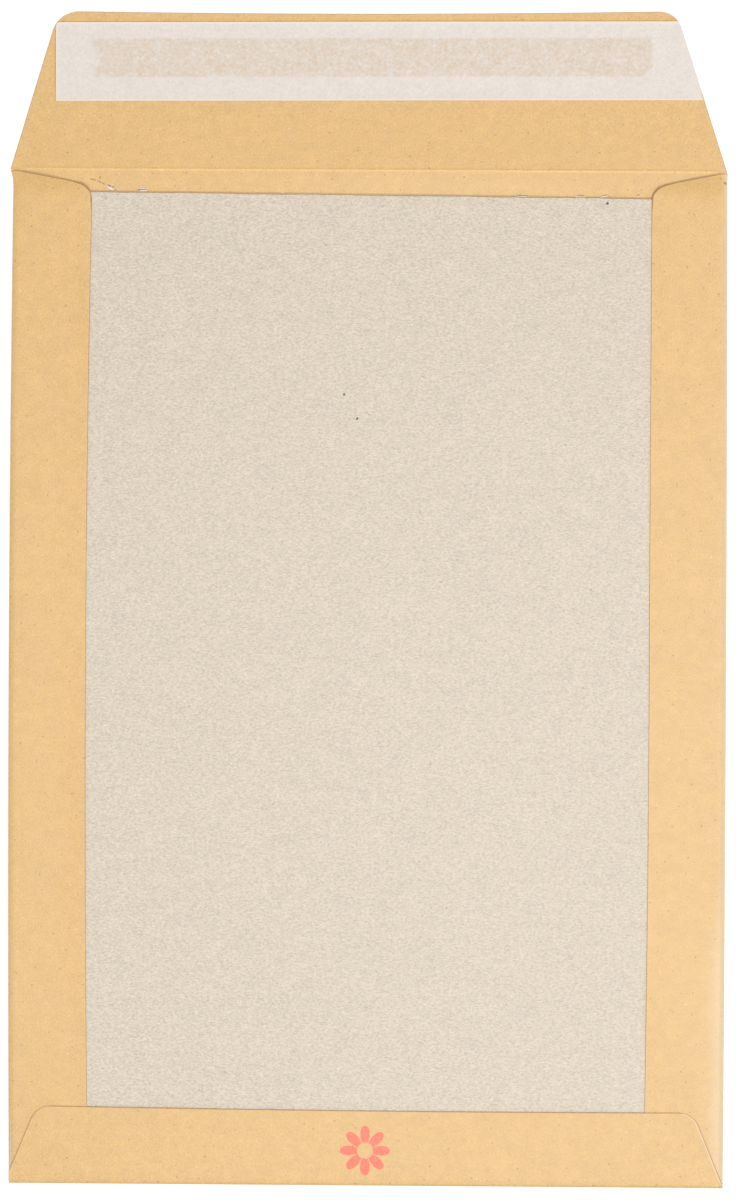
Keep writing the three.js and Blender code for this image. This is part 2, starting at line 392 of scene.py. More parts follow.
class SharedEffects:
    """Node groups that several finishes use, each built once."""

    def __init__(self) -> None:
        """Builds the groups."""
        self.formation = self._formation()
        self.strands = self._strands()
        self.stroke = self._stroke()

    @staticmethod
    def _start(name: str, inputs: dict[str, str], outputs: tuple[str, ...]) -> tuple[Nodes, dict]:
        """Makes an empty group.

        Args:
            name: the group's name.
            inputs: socket kind of each input by name.
            outputs: names of the outputs, all of them values.

        Returns:
            The group's nodes, and its inputs' sockets by name.
        """
        tree = bpy.data.node_groups.new(name, "ShaderNodeTree")
        nodes = Nodes(tree)
        for key, kind in inputs.items():
            tree.interface.new_socket(key, in_out="INPUT", socket_type="NodeSocket" + kind)
        for key in outputs:
            tree.interface.new_socket(key, in_out="OUTPUT", socket_type="NodeSocketFloat")
        entry = tree.nodes.new("NodeGroupInput")
        return nodes, {key: entry.outputs[key] for key in inputs}

    @staticmethod
    def _end(nodes: Nodes, results: dict[str, Socket]) -> bpy.types.NodeTree:
        """Joins the results to the group's outputs.

        Args:
            nodes: the group's nodes.
            results: what each output gives, by name.

        Returns:
            The finished group.
        """
        leave = nodes.tree.nodes.new("NodeGroupOutput")
        for key, value in results.items():
            nodes.feed(leave.inputs[key], value)
        return nodes.tree

    def _formation(self) -> bpy.types.NodeTree:
        """How the fibres settled in the sheet: slow clouds and fine grain, each about -1 to 1.

        Returns:
            A group with the outputs Cloud and Grain, two noises of their own frequency (per
            metre) read at the stretched point, each scaled to swing about zero.
        """
        inputs = {"Vector": "Vector", "Stretch": "Vector", "Cloud Frequency": "Float",
                  "Grain Frequency": "Float"}
        nodes, entry = self._start("fibre_formation", inputs, ("Cloud", "Grain"))
        point = nodes.vector("MULTIPLY", entry["Vector"], entry["Stretch"])
        results = {}
        for key, detail in {"Cloud": 3.0, "Grain": 2.0}.items():
            sockets = {"Vector": point, "Scale": entry[key + " Frequency"], "Detail": detail,
                       "Roughness": 0.6}
            noise = nodes.add("TexNoise", sockets, noise_dimensions="3D").outputs[0]
            results[key] = nodes.math("MULTIPLY_ADD", noise, 4.0, -2.0)
        return self._end(nodes, results)

    def _strands(self) -> bpy.types.NodeTree:
        """Short curved fibres or specks, at most one in each cell of a scattered pattern.

        Returns:
            A group with the output Mask. A cell's random colour gives the strand's angle, whether
            it is there at all and its size. The offset from the cell's point is split along and
            across that angle, bent by the square of the along part, and the mask fades past half
            the length and half the width, both in shares of a cell.
        """
        inputs = {"Vector": "Vector", "Frequency": "Float", "Share": "Float",
                  "Half Length": "Float", "Half Width": "Float", "Curve": "Float"}
        nodes, entry = self._start("scattered_strands", inputs, ("Mask",))
        point = nodes.scaled(entry["Vector"], entry["Frequency"])
        cell = nodes.add("TexVoronoi", {"Vector": point, "Scale": 1.0}, voronoi_dimensions="2D")
        heading, chance, bulk = nodes.add("SeparateColor", {0: cell.outputs["Color"]}).outputs
        offset = nodes.vector("SUBTRACT", point, cell.outputs["Position"])
        along, across, _ = nodes.split(nodes.turned(offset, nodes.times(heading, 2.0 * math.pi)))
        bend = nodes.times(nodes.times(along, along), entry["Curve"])
        across = nodes.math("ABSOLUTE", nodes.math("SUBTRACT", across, bend))
        size = nodes.math("MULTIPLY_ADD", bulk, 0.7, 0.5)
        length = nodes.times(entry["Half Length"], size)
        width = nodes.times(entry["Half Width"], size)
        far = nodes.math("DIVIDE", nodes.math("ABSOLUTE", along), length)
        wide = nodes.math("DIVIDE", across, width)
        inside = nodes.times(nodes.step(1.0, 0.6, far), nodes.step(1.0, 0.4, wide))
        present = nodes.math("LESS_THAN", chance, entry["Share"])
        return self._end(nodes, {"Mask": nodes.times(inside, present)})

    def _stroke(self) -> bpy.types.NodeTree:
        """One mark at a known place: an ellipse with soft edges, turned by an angle.

        Returns:
            A group with the output Mask: the offset from the centre, turned and divided by the
            half length and half width, fades to 0 on its unit circle. The fade reads the square
            of the offset.
        """
        inputs = {"Vector": "Vector", "Centre": "Vector", "Angle": "Float",
                  "Half Length": "Float", "Half Width": "Float"}
        nodes, entry = self._start("single_mark", inputs, ("Mask",))
        offset = nodes.vector("SUBTRACT", entry["Vector"], entry["Centre"])
        along, across, _ = nodes.split(nodes.turned(offset, entry["Angle"]))
        along = nodes.math("DIVIDE", along, entry["Half Length"])
        across = nodes.math("DIVIDE", across, entry["Half Width"])
        square = nodes.math("ADD", nodes.times(along, along), nodes.times(across, across))
        return self._end(nodes, {"Mask": nodes.step(1.0, 0.3, square)})


@dataclass(frozen=True)
class Formation:
    """A sheet's fibre pattern: its stretch and its two frequencies, per metre."""

    stretch: Point
    cloud: float
    grain: float


@dataclass(frozen=True)
class Strands:
    """Scattered specks or hairs: cells per metre, and the share of cells that hold one.

    Half length and half width are shares of a cell.
    """

    frequency: float
    share: float
    half_length: float
    half_width: float
    curve: float = 0.0


@dataclass(frozen=True)
class Mark:
    """A speck or scratch at a known place, seen from above."""

    x: float
    y: float
    half_length: float
    half_width: float
    angle: float = 0.0


@dataclass(frozen=True)
class Finish:
    """What every finish holds: its slot and how it takes light."""

    slot: Slot
    colour: Colour
    roughness: float


class Coat:
    """A material in the making: its nodes, the object's own coordinates and its shader."""

    def __init__(self, finish: Finish, effects: SharedEffects) -> None:
        """Starts the material.

        Args:
            finish: gives the slot, the colour and the roughness.
            effects: the shared groups.
        """
        self.effects = effects
        self.material = bpy.data.materials.new(finish.slot.value + "_finish")
        self.material.use_nodes = True
        self.nodes = Nodes(self.material.node_tree)
        look = {"Base Color": finish.colour, "Roughness": finish.roughness}
        self.shader = self.nodes.add("BsdfPrincipled", look)
        self.nodes.add("OutputMaterial", {"Surface": self.shader.outputs[0]})
        self.point = self.nodes.add("TexCoord").outputs["Object"]

    def formation(self, pattern: Formation) -> tuple[Socket, Socket]:
        """Places the shared fibre pattern.

        Args:
            pattern: its stretch and frequencies.

        Returns:
            Its slow cloud and its fine grain.
        """
        sockets = {"Vector": self.point, "Stretch": pattern.stretch,
                   "Cloud Frequency": pattern.cloud, "Grain Frequency": pattern.grain}
        outputs = self.nodes.group(self.effects.formation, sockets).outputs
        return outputs["Cloud"], outputs["Grain"]

    def strands(self, scatter: Strands) -> Socket:
        """Places the shared scatter of specks or hairs.

        Args:
            scatter: how many there are and how they look.

        Returns:
            A mask from 0 to 1.
        """
        sockets = {"Vector": self.point, "Frequency": scatter.frequency, "Share": scatter.share,
                   "Half Length": scatter.half_length, "Half Width": scatter.half_width,
                   "Curve": scatter.curve}
        return self.nodes.group(self.effects.strands, sockets).outputs[0]

    def marks(self, marks: tuple[Mark, ...]) -> Socket:
        """The mask of several marks, the strongest at each point.

        Args:
            marks: the marks to draw; each is as tall as the whole envelope.

        Returns:
            A mask from 0 to 1.
        """
        flat = self.nodes.vector("MULTIPLY", self.point, (1.0, 1.0, 0.0))
        masks = []
        for mark in marks:
            sockets = {"Vector": flat, "Centre": (mark.x, mark.y, 0.0), "Angle": -mark.angle,
                       "Half Length": mark.half_length, "Half Width": mark.half_width}
            masks.append(self.nodes.group(self.effects.stroke, sockets).outputs[0])
        return self.nodes.most(masks)

    def done(self, colour: Socket, rough: Socket, height: Socket, relief: float) -> bpy.types.Material:
        """Joins the results to the shader.

        Args:
            colour: the base colour.
            rough: the roughness.
            height: the surface's relief, about -1 to 1.
            relief: what a height of 1 stands for.

        Returns:
            The finished material.
        """
        bump = self.nodes.add("Bump", {"Height": height, "Distance": relief, "Strength": 1.0})
        results = {"Base Color": colour, "Roughness": rough, "Normal": bump.outputs[0]}
        for key, value in results.items():
            self.nodes.feed(self.shader.inputs[key], value)
        return self.material


@dataclass(frozen=True)
class ManilaPaper(Finish):
    """Buff kraft paper: faint clouds, fine grain, dark specks, pale hairs and scratch marks, with
    painted highlights on its folds, its crease and inside its cut edges, and painted shade along
    its cut edges and beside the board, the liner, the side flaps and the torn slivers.

    The plain numbers below the colours are the strengths of what they name.
    """

    slot: Slot = Slot.PAPER
    colour: Colour = (0.82, 0.518, 0.194, 1.0)
    roughness: float = 0.42
    second: Colour = (0.812, 0.516, 0.212, 1.0)
    dark: Colour = (0.30, 0.16, 0.05, 1.0)
    # Painted shade: the dark line along the cut edges, for the shadow under each edge.
    cut: Colour = (0.42, 0.19, 0.035, 1.0)
    # Light colour of the painted highlights and of the real pale chips.
    pale: Colour = (0.97, 0.79, 0.565, 1.0)
    # Dark colour of the scratch marks and of the painted shadows.
    mark_and_shadow: Colour = (0.22, 0.12, 0.035, 1.0)
    ink: Colour = (0.90, 0.105, 0.032, 1.0)
    cloud: float = 0.02
    mottle: float = 0.06
    grain: float = 0.14
    haired: float = 0.04
    # Strength of the painted highlight on the crest of the crease.
    ridge: float = 0.15
    specked: float = 0.5
    fold_highlight_strength: float = 0.5
    edge_highlight_strength: float = 0.15
    chipped: float = 0.45
    # Strength of the painted shade along the cut edges.
    edged: float = 0.8
    shadow_strength: float = 0.36
    scratch_and_shadow_strength: float = 0.7
    inked: float = 0.93
    uneven: float = 0.05
    ink_gloss: float = -0.12
    hair_height: float = 0.5
    scratch_and_shadow_height: float = -2.0
    relief: float = 0.012 * MM
    rim_levels: Pair = (0.25, 0.5)
    edge_highlight_levels: Pair = (0.10, 0.3)
    sheet: Formation = Formation((1.0, 0.85, 1.0), 70.0, 1900.0)
    blotches: Formation = Formation((0.9, 1.0, 1.0), 330.0, 240.0)
    specks: Strands = Strands(165.0, 0.7, 0.062, 0.042)
    chips: Strands = Strands(75.0, 0.4, 0.032, 0.024)
    hairs: Strands = Strands(210.0, 0.55, 0.30, 0.028, 0.7)
    print_centre: Pair = (0.06 * MM, -176.0 * MM)
    print_radius: float = 8.0 * MM
    print_level: float = 1.8 * MM
    print_soft: float = 0.02
    bare_middle: Pair = (0.30, 0.34)
    petals: int = 8
    petal_power: float = 0.45
    # Scratches on the throat by the left flap's corner, and painted shadows: the marks along the
    # board's top edge beside the torn slivers are dark lines painted just above the slivers, for the
    # shadows they cast.
    scratches_and_shadows: tuple[Mark, ...] = (
        Mark(-88.2 * MM, 133.4 * MM, 1.3 * MM, 0.24 * MM, math.radians(-14)),
        Mark(-86.1 * MM, 132.7 * MM, 0.8 * MM, 0.24 * MM, math.radians(-30)),
        Mark(-84.9 * MM, 132.1 * MM, 0.7 * MM, 0.24 * MM, math.radians(-28)),
        Mark(-85.9 * MM, 134.1 * MM, 0.7 * MM, 0.22 * MM, math.radians(88)),
        Mark(-82.9 * MM, 131.5 * MM, 0.9 * MM, 0.26 * MM, math.radians(-22)),
        Mark(-81.7 * MM, 131.1 * MM, 0.4 * MM, 0.30 * MM, math.radians(-45)),
        Mark(-72.6 * MM, 130.2 * MM, 2.0 * MM, 0.24 * MM, math.radians(1)),
        Mark(49.0 * MM, 128.95 * MM, 2.4 * MM, 0.20 * MM, math.radians(-2)),
        Mark(67.5 * MM, 129.05 * MM, 1.6 * MM, 0.22 * MM, math.radians(0)),
        Mark(75.1 * MM, 129.05 * MM, 1.4 * MM, 0.22 * MM, math.radians(12)),
        Mark(85.9 * MM, 129.25 * MM, 0.7 * MM, 0.22 * MM, math.radians(25)),
    )
    # Painted shadows on the inner face: dark lines beside the board's top edge, above and left of the
    # liner, along the side flaps' slanted tops and at their upper corners.
    painted_shadows: tuple[Mark, ...] = (
        Mark(-0.4 * MM, 128.9 * MM, 250.0 * MM, 0.60 * MM, math.radians(-0.46)),
        Mark(-0.3 * MM, 184.2 * MM, 250.0 * MM, 0.50 * MM, math.radians(0.34)),
        Mark(-100.25 * MM, 171.0 * MM, 15.0 * MM, 0.50 * MM, math.radians(90.34)),
        Mark(-103.5 * MM, 134.75 * MM, 11.5 * MM, 0.55 * MM, math.radians(-11.3)),
        Mark(-90.6 * MM, 131.2 * MM, 2.8 * MM, 0.80 * MM, math.radians(-42)),
        Mark(104.3 * MM, 134.70 * MM, 10.5 * MM, 0.45 * MM, math.radians(11.3)),
        Mark(91.4 * MM, 130.4 * MM, 2.6 * MM, 0.60 * MM, math.radians(58)),
    )
    spots: tuple[Mark, ...] = (
        Mark(113.6 * MM, 133.1 * MM, 0.70 * MM, 0.45 * MM, math.radians(-50)),
    )

    def _print(self, coat: Coat) -> Socket:
        """The printed rosette: petals round a bare middle, on the bottom flap's face only.

        A point is inked where its distance from the middle, in radii, lies between the bare
        middle's and a power of the cosine of half the petal count times its angle.

        Args:
            coat: the paper's material.

        Returns:
            A mask from 0 to 1.
        """
        nodes = coat.nodes
        x, y, z = nodes.split(nodes.vector("SUBTRACT", coat.point, (*self.print_centre, 0.0)))
        angle = nodes.math("ARCTAN2", y, x)
        flat = nodes.add("CombineXYZ", {0: x, 1: y}).outputs[0]
        length = nodes.add("VectorMath", {0: flat}, operation="LENGTH").outputs["Value"]
        radius = nodes.math("DIVIDE", length, self.print_radius)
        wave = nodes.math("COSINE", nodes.times(angle, self.petals / 2))
        petal = nodes.math("POWER", nodes.math("ABSOLUTE", wave), self.petal_power)
        inked = nodes.step(-self.print_soft, self.print_soft, nodes.math("SUBTRACT", petal, radius))
        inked = nodes.times(inked, nodes.step(*self.bare_middle, radius))
        return nodes.times(inked, nodes.math("GREATER_THAN", z, self.print_level))

    def material(self, effects: SharedEffects) -> bpy.types.Material:
        """Builds the paper's material.

        Args:
            effects: the shared groups.

        Returns:
            The material.
        """
        coat = Coat(self, effects)
        nodes = coat.nodes
        cloud, grain = coat.formation(self.sheet)
        mottle, hue = coat.formation(self.blotches)
        specks = coat.strands(self.specks)
        chips = coat.strands(self.chips)
        hairs = coat.strands(self.hairs)
        # Painted highlight: the crest of the crease is painted lighter.
        crest = nodes.attribute("crest")
        shade = nodes.total(1.0, (cloud, self.cloud), (mottle, self.mottle), (grain, self.grain),
                            (hairs, self.haired), (crest, self.ridge))
        colour = nodes.tint(nodes.total(0.5, (hue, 0.5)), self.colour, self.second)
        colour = nodes.scaled(colour, shade)
        colour = nodes.tint(nodes.times(specks, self.specked), colour, self.dark)

        # Along the cut edges: a dark line of painted shade, with a painted highlight just inside it.
        edge_paint = nodes.attribute("cut_edge")
        rim = nodes.step(*self.rim_levels, edge_paint)
        inside_rim = nodes.math("SUBTRACT", 1.0, rim)
        # Painted highlight just inside the dark line.
        edge_highlight = nodes.times(nodes.step(*self.edge_highlight_levels, edge_paint), inside_rim)
        # Painted highlight on the side folds and the bottom flap's right end, mixed with the pale
        # chips.
        bent = nodes.attribute("fold_highlight")
        highlight_and_chips = nodes.total(0.0, (edge_highlight, self.edge_highlight_strength), (bent, self.fold_highlight_strength), (chips, self.chipped))
        colour = nodes.tint(highlight_and_chips, colour, self.pale)
        colour = nodes.tint(nodes.times(rim, self.edged), colour, self.cut)

        inner = nodes.attribute("inner_face")
        outer = nodes.math("SUBTRACT", 1.0, inner)
        # Painted shadows, on the inner face only.
        painted_shadows = nodes.times(coat.marks(self.painted_shadows), inner)
        colour = nodes.tint(nodes.times(painted_shadows, self.shadow_strength), colour, self.mark_and_shadow)
        # Scratches and the painted shadows of the torn slivers on the inner face, with the outer
        # face's spots.
        scratches_and_shadows = nodes.times(coat.marks(self.scratches_and_shadows), inner)
        scratches_and_shadows = nodes.most([scratches_and_shadows, nodes.times(coat.marks(self.spots), outer)])
        colour = nodes.tint(nodes.times(scratches_and_shadows, self.scratch_and_shadow_strength), colour, self.mark_and_shadow)

        inked = self._print(coat)
        cover = nodes.total(self.inked, (grain, self.uneven))
        colour = nodes.tint(nodes.times(inked, cover), colour, self.ink)
        rough = nodes.total(self.roughness, (grain, self.uneven), (inked, self.ink_gloss))
        height = nodes.total(grain, (hairs, self.hair_height), (scratches_and_shadows, self.scratch_and_shadow_height))
        return coat.done(colour, rough, height, self.relief)


@dataclass(frozen=True)
class GreyBoard(Finish):
    """Recycled grey board: streaky felted grain with scattered dark and brown flecks.

    The plain numbers below the colours are the strengths of what they name.
    """

    slot: Slot = Slot.BOARD
    colour: Colour = (0.728, 0.628, 0.502, 1.0)
    roughness: float = 0.45
    dark: Colour = (0.05, 0.045, 0.03, 1.0)
    brown: Colour = (0.36, 0.27, 0.18, 1.0)
    pale: Colour = (0.95, 0.89, 0.78, 1.0)
    cloud: float = 0.03
    grain: float = 0.245
    haired: float = -0.06
    chipped: float = 0.35
    flecked: float = 0.5
    uneven: float = 0.04
    hair_height: float = 0.6
    relief: float = 0.025 * MM
    felt: Formation = Formation((0.52, 1.0, 1.0), 260.0, 2300.0)
    flecks: Strands = Strands(90.0, 0.5, 0.04, 0.024)
    chips: Strands = Strands(140.0, 0.5, 0.06, 0.045)
    hairs: Strands = Strands(190.0, 0.6, 0.32, 0.03, 0.9)
    specks: tuple[Mark, ...] = (
        Mark(-7.7 * MM, 65.1 * MM, 0.50 * MM, 0.42 * MM, math.radians(20)),
        Mark(-3.5 * MM, 57.4 * MM, 0.58 * MM, 0.42 * MM, math.radians(60)),
        Mark(76.0 * MM, 126.4 * MM, 0.58 * MM, 0.50 * MM, math.radians(60)),
    )

    def material(self, effects: SharedEffects) -> bpy.types.Material:
        """Builds the board's material.

        Args:
            effects: the shared groups.

        Returns:
            The material.
        """
        coat = Coat(self, effects)
        nodes = coat.nodes
        cloud, grain = coat.formation(self.felt)
        flecks = coat.strands(self.flecks)
        chips = coat.strands(self.chips)
        hairs = coat.strands(self.hairs)
        shade = nodes.total(1.0, (cloud, self.cloud), (grain, self.grain), (hairs, self.haired))
        colour = nodes.scaled(self.colour[:3], shade)
        colour = nodes.tint(nodes.times(chips, self.chipped), colour, self.pale)
        colour = nodes.tint(nodes.times(flecks, self.flecked), colour, self.brown)
        colour = nodes.tint(coat.marks(self.specks), colour, self.dark)
        rough = nodes.total(self.roughness, (grain, self.uneven))
        height = nodes.total(grain, (hairs, self.hair_height))
        return coat.done(colour, rough, height, self.relief)


@dataclass(frozen=True)
class LinerPaper(Finish):
    """Thin siliconed paper: pale and slightly glossy, with the sticky band showing through it and
    a painted highlight along its cut edges.

    The plain numbers below the colours are the strengths of what they name.
    """

    slot: Slot = Slot.LINER
    colour: Colour = (0.845, 0.77, 0.70, 1.0)
    roughness: float = 0.45
    through: Colour = (0.755, 0.597, 0.447, 1.0)
    # Painted highlight along the liner's cut edges.
    edge: Colour = (0.98, 0.815, 0.68, 1.0)
    cloud: float = 0.035
    grain: float = 0.07
    band_level: float = 0.5
    band_cloud: float = 0.26
    band_grain: float = 0.54
    edged: float = 0.9
    uneven: float = 0.05
    band_rough: float = 0.06
    band_height: float = 2.0
    relief: float = 0.008 * MM
    rim_levels: Pair = (0.16, 0.40)
    sheet: Formation = Formation((1.0, 1.0, 1.0), 190.0, 1150.0)
    blots: Formation = Formation((1.0, 1.1, 1.0), 260.0, 1000.0)

    def material(self, effects: SharedEffects) -> bpy.types.Material:
        """Builds the liner's material.

        Args:
            effects: the shared groups.

        Returns:
            The material.
        """
        coat = Coat(self, effects)
        nodes = coat.nodes
        cloud, grain = coat.formation(self.sheet)
        blots, dots = coat.formation(self.blots)
        shade = nodes.total(1.0, (cloud, self.cloud), (grain, self.grain))
        colour = nodes.scaled(self.colour[:3], shade)
        band = nodes.attribute("over_adhesive")
        patchy = nodes.total(self.band_level, (blots, self.band_cloud), (dots, self.band_grain))
        colour = nodes.tint(nodes.times(band, patchy), colour, self.through)
        # Painted highlight along the cut edges.
        rim = nodes.step(*self.rim_levels, nodes.attribute("cut_edge"))
        colour = nodes.tint(nodes.times(rim, self.edged), colour, self.edge)
        rough = nodes.total(self.roughness, (cloud, self.uneven), (band, self.band_rough))
        height = nodes.total(grain, (nodes.times(blots, band), self.band_height))
        return coat.done(colour, rough, height, self.relief)


@dataclass(frozen=True)
class DriedGlue(Finish):
    """A thin rolled-on film of glue: glossy, streaked and a little uneven."""

    streak: float = 0.06
    relief: float = 0.02 * MM
    film: Formation = Formation((0.3, 1.0, 1.0), 100.0, 400.0)

    def material(self, effects: SharedEffects) -> bpy.types.Material:
        """Builds the film's material.

        Args:
            effects: the shared groups.

        Returns:
            The material.
        """
        coat = Coat(self, effects)
        nodes = coat.nodes
        cloud, grain = coat.formation(self.film)
        colour = nodes.scaled(self.colour[:3], nodes.total(1.0, (grain, self.streak)))
        rough = nodes.total(self.roughness, (cloud, self.streak))
        return coat.done(colour, rough, grain, self.relief)


TORN_BOARD = GreyBoard(colour=(0.99, 0.80, 0.68, 1.0))
STICKY_FILM = DriedGlue(Slot.ADHESIVE, (0.72, 0.60, 0.40, 1.0), 0.3)
SEAM_FILM = DriedGlue(Slot.GUM, (0.70, 0.58, 0.36, 1.0), 0.5)


def carry(piece: bpy.types.Object, material: bpy.types.Material, slot: Slot, *nodes: str) -> None:
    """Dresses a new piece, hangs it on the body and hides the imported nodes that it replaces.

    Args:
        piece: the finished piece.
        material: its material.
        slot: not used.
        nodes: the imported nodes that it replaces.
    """
    piece.data.materials.append(material)
    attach(piece, BODY)
    if nodes:
        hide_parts(*nodes)
    LOG.info("%s: %d faces", piece.name, len(piece.data.polygons))


# The envelope

@dataclass(frozen=True)
class Layout:
    """Places that the pieces share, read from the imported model."""

    half_width: float
    foot: float
    crease: float
    thickness: float
    board_low: float
    board_high: float
    side_face: float
    bottom_face: float

    @classmethod
    def from_frame(cls, pocket_height: float = 324.0 * MM, thickness: float = 0.16 * MM) -> "Layout":
        """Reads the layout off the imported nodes.

        Args:
            pocket_height: from the bottom fold to the crease of the seal flap.
            thickness: of the paper.

        Returns:
            The layout.
        """
        low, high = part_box("envelope_paper")
        board_low, board_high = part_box("backing_board")
        _, gum_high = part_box("left_seam_gum")
        return cls(
            half_width=high.x,
            foot=low.y,
            crease=low.y + pocket_height,
            thickness=thickness,
            board_low=board_low.z,
            board_high=board_high.z,
            side_face=gum_high.z + thickness,
            bottom_face=high.z,
        )


@dataclass(frozen=True)
class FlapCut:
    """How a flap is cut: a trapezium on its fold line, its two free corners rounded.

    Slants, corners and shoulders are pairs, for the two ends in the order of the fold line's
    samples.
    """

    depth: float
    slants: Pair
    corners: Pair
    shoulders: Pair = (0.0, 0.0)

    def bend_from(self, end: int) -> float:
        """Distance from the fold line at which an end's round corner begins."""
        return self.depth - self.corners[end] * (1.0 - math.sin(self.slants[end]))

    def rows(self, even: int, round_steps: int, extra: tuple[float, ...] = ()) -> Array:
        """Distances of the rows from the fold line.

        They are even up the slanted ends, then at even angles round the corners.

        Args:
            even: how many even rows.
            round_steps: how many rows round the corners.
            extra: more distances.

        Returns:
            The distances in order, from 0 to the flap's depth.
        """
        straight = min(self.bend_from(0), self.bend_from(1))
        parts = [np.linspace(0.0, straight, even), np.array(extra)]
        for slant, corner in zip(self.slants, self.corners):
            angles = np.linspace(slant, math.pi / 2, round_steps)
            parts.append(self.depth - corner + corner * np.sin(angles))
        return np.unique(np.round(np.concatenate(parts), 9))

    def inset(self, out: Array, end: int) -> Array:
        """How far an end lies inside its fold-line corner, at a distance out from the fold.

        The slanted part is the distance past the shoulder times the slant's tangent. The corner
        is a circle that touches the slant and the free edge.

        Args:
            out: distances from the fold line.
            end: 0 for the first end, 1 for the last.

        Returns:
            The inset at each distance.
        """
        slant, corner, shoulder = self.slants[end], self.corners[end], self.shoulders[end]
        lean = math.tan(slant)
        slanted = np.maximum(out - shoulder, 0.0) * lean
        touch = corner * (1.0 - math.sin(slant)) / math.cos(slant)
        middle = (self.depth - shoulder) * lean + touch
        reach = np.clip(out - self.depth + corner, 0.0, corner)
        rounded = middle - np.sqrt(corner**2 - reach**2)
        return np.where(out < self.bend_from(end), slanted, rounded)

    def spans(self, base: Array, out: Array) -> tuple[Array, Array]:
        """Points along the flap for every row, scaled from the samples of its fold line.

        Args:
            base: samples of the fold line, from end to end.
            out: distances of the rows from the fold line.

        Returns:
            The along coordinate, rows by columns, and its distance from the nearer cut end.
        """
        low = base[0] + self.inset(out, 0)[:, None]
        high = base[-1] - self.inset(out, 1)[:, None]
        share = (base - base[0]) / (base[-1] - base[0])
        along = low + share * (high - low)
        return along, np.minimum(along - low, high - along)


@dataclass(frozen=True)
class Fold:
    """A soft fold round the board's edge: half an ellipse from the front panel up to a flap."""

    reach: float
    height: float
    steps: int = 12

    def profile(self) -> tuple[Array, Array, Array]:
        """The fold's section, from under the envelope to the flap's face.

        Reach is the sine and height one minus the cosine of an angle that runs half a turn.

        Returns:
            The reach, the height, and how close each step is to the outermost line, 0 to 1.
        """
        angle = np.linspace(0.0, math.pi, self.steps + 1)
        return self.reach * np.sin(angle), self.height * (1.0 - np.cos(angle)) / 2.0, np.sin(angle)


SEAL_CUT = FlapCut(
    depth=51.1 * MM,
    slants=(math.radians(16.85), math.radians(17.55)),
    corners=(9.0 * MM, 7.5 * MM),
)


@dataclass(frozen=True)
class SealFlap:
    """Shape of the open seal flap, which the paper, the adhesive and the liner all follow."""

    layout: Layout
    cut: FlapCut = SEAL_CUT
    trims: Pair = (0.0, 0.3 * MM)
    turn: float = math.radians(0.34)
    edge_turn: float = math.radians(0.24)
    edge_dip: float = 1.1 * MM
    dip_power: int = 6
    hump: float = 0.5 * MM
    hump_reach: float = 7.0 * MM
    hump_drift: Drift = Drift(0.2, 150.0 * MM, 0.15)
    hump_end: float = 14.0 * MM
    ridge: float = 0.18 * MM
    ridge_width: float = 0.34 * MM
    ridge_above: float = 0.05 * MM
    ridge_end: float = 3.0 * MM
    fold_reach: float = 2.2 * MM

    def half_width(self, side: Side) -> float:
        """How far the flap reaches along the crease on one side."""
        return self.layout.half_width - self.trims[side.end]

    def between_folds(self, x: Array, fade: float) -> Array:
        """1 across the flap, falling to 0 where the side folds begin, over a length of fade."""
        end = self.layout.half_width - self.fold_reach
        return smooth(end, end - fade, np.abs(x))

    def rise(self, x: Array, y: Array) -> Array:
        """Height of the flap's outer face above the floor.

        A low hump along the crease falls off as a bell towards the pocket and as a square towards
        the free edge. A narrow bell-shaped ridge runs on top of it. Both end where the side folds
        begin.

        Args:
            x: places across the envelope.
            y: places along it.

        Returns:
            The height at each place.
        """
        past = y - self.layout.crease
        towards_edge = np.clip(1.0 - past / self.cut.depth, 0.0, 1.0) ** 2
        hump = np.where(past > 0.0, towards_edge, bell(past, self.hump_reach))
        hump = self.hump * hump * self.hump_drift.at(x) * self.between_folds(x, self.hump_end)
        return hump + self.ridge * self.crest(x, y)

    def crest(self, x: Array, y: Array) -> Array:
        """How near a place is to the crest of the crease: a bell that ends at the side folds."""
        past = y - self.layout.crease - self.ridge_above
        return bell(past, self.ridge_width) * self.between_folds(x, self.ridge_end)

    def dip(self, along: Array, share: Array) -> Array:
        """How far the flap lies below a straight edge: a parabola, near the free edge only."""
        return self.edge_dip * (1.0 - (along / self.layout.half_width) ** 2) * share**self.dip_power

    def place(self, along: Array, out: Array) -> tuple[Array, Array]:
        """Turns flap coordinates into X and Y, with the free edge turned and dipped in its middle.

        Args:
            along: places along the flap, from its middle.
            out: distances from the crease.

        Returns:
            X and Y of each place.
        """
        share = out / self.cut.depth
        x = along - out * math.sin(self.turn)
        y = self.layout.crease + out + math.tan(self.edge_turn) * along * share
        return x, y - self.dip(along, share)

    def half_span(self, out: Array, side: Side) -> Array:
        """Half the flap's width where a line that runs parallel to its liner meets its end.

        Args:
            out: the line's distance from the crease at the flap's middle.
            side: which end.

        Returns:
            The along coordinate of the end, without its sign.
        """
        half = self.half_width(side) - self.cut.inset(np.asarray(out), side.end)
        share = out / self.cut.depth
        up = side.value * half * (math.tan(self.turn) - math.tan(self.edge_turn) * share)
        own = np.clip(out + up + self.dip(half, share), 0.0, self.cut.depth)
        return self.half_width(side) - self.cut.inset(own, side.end)


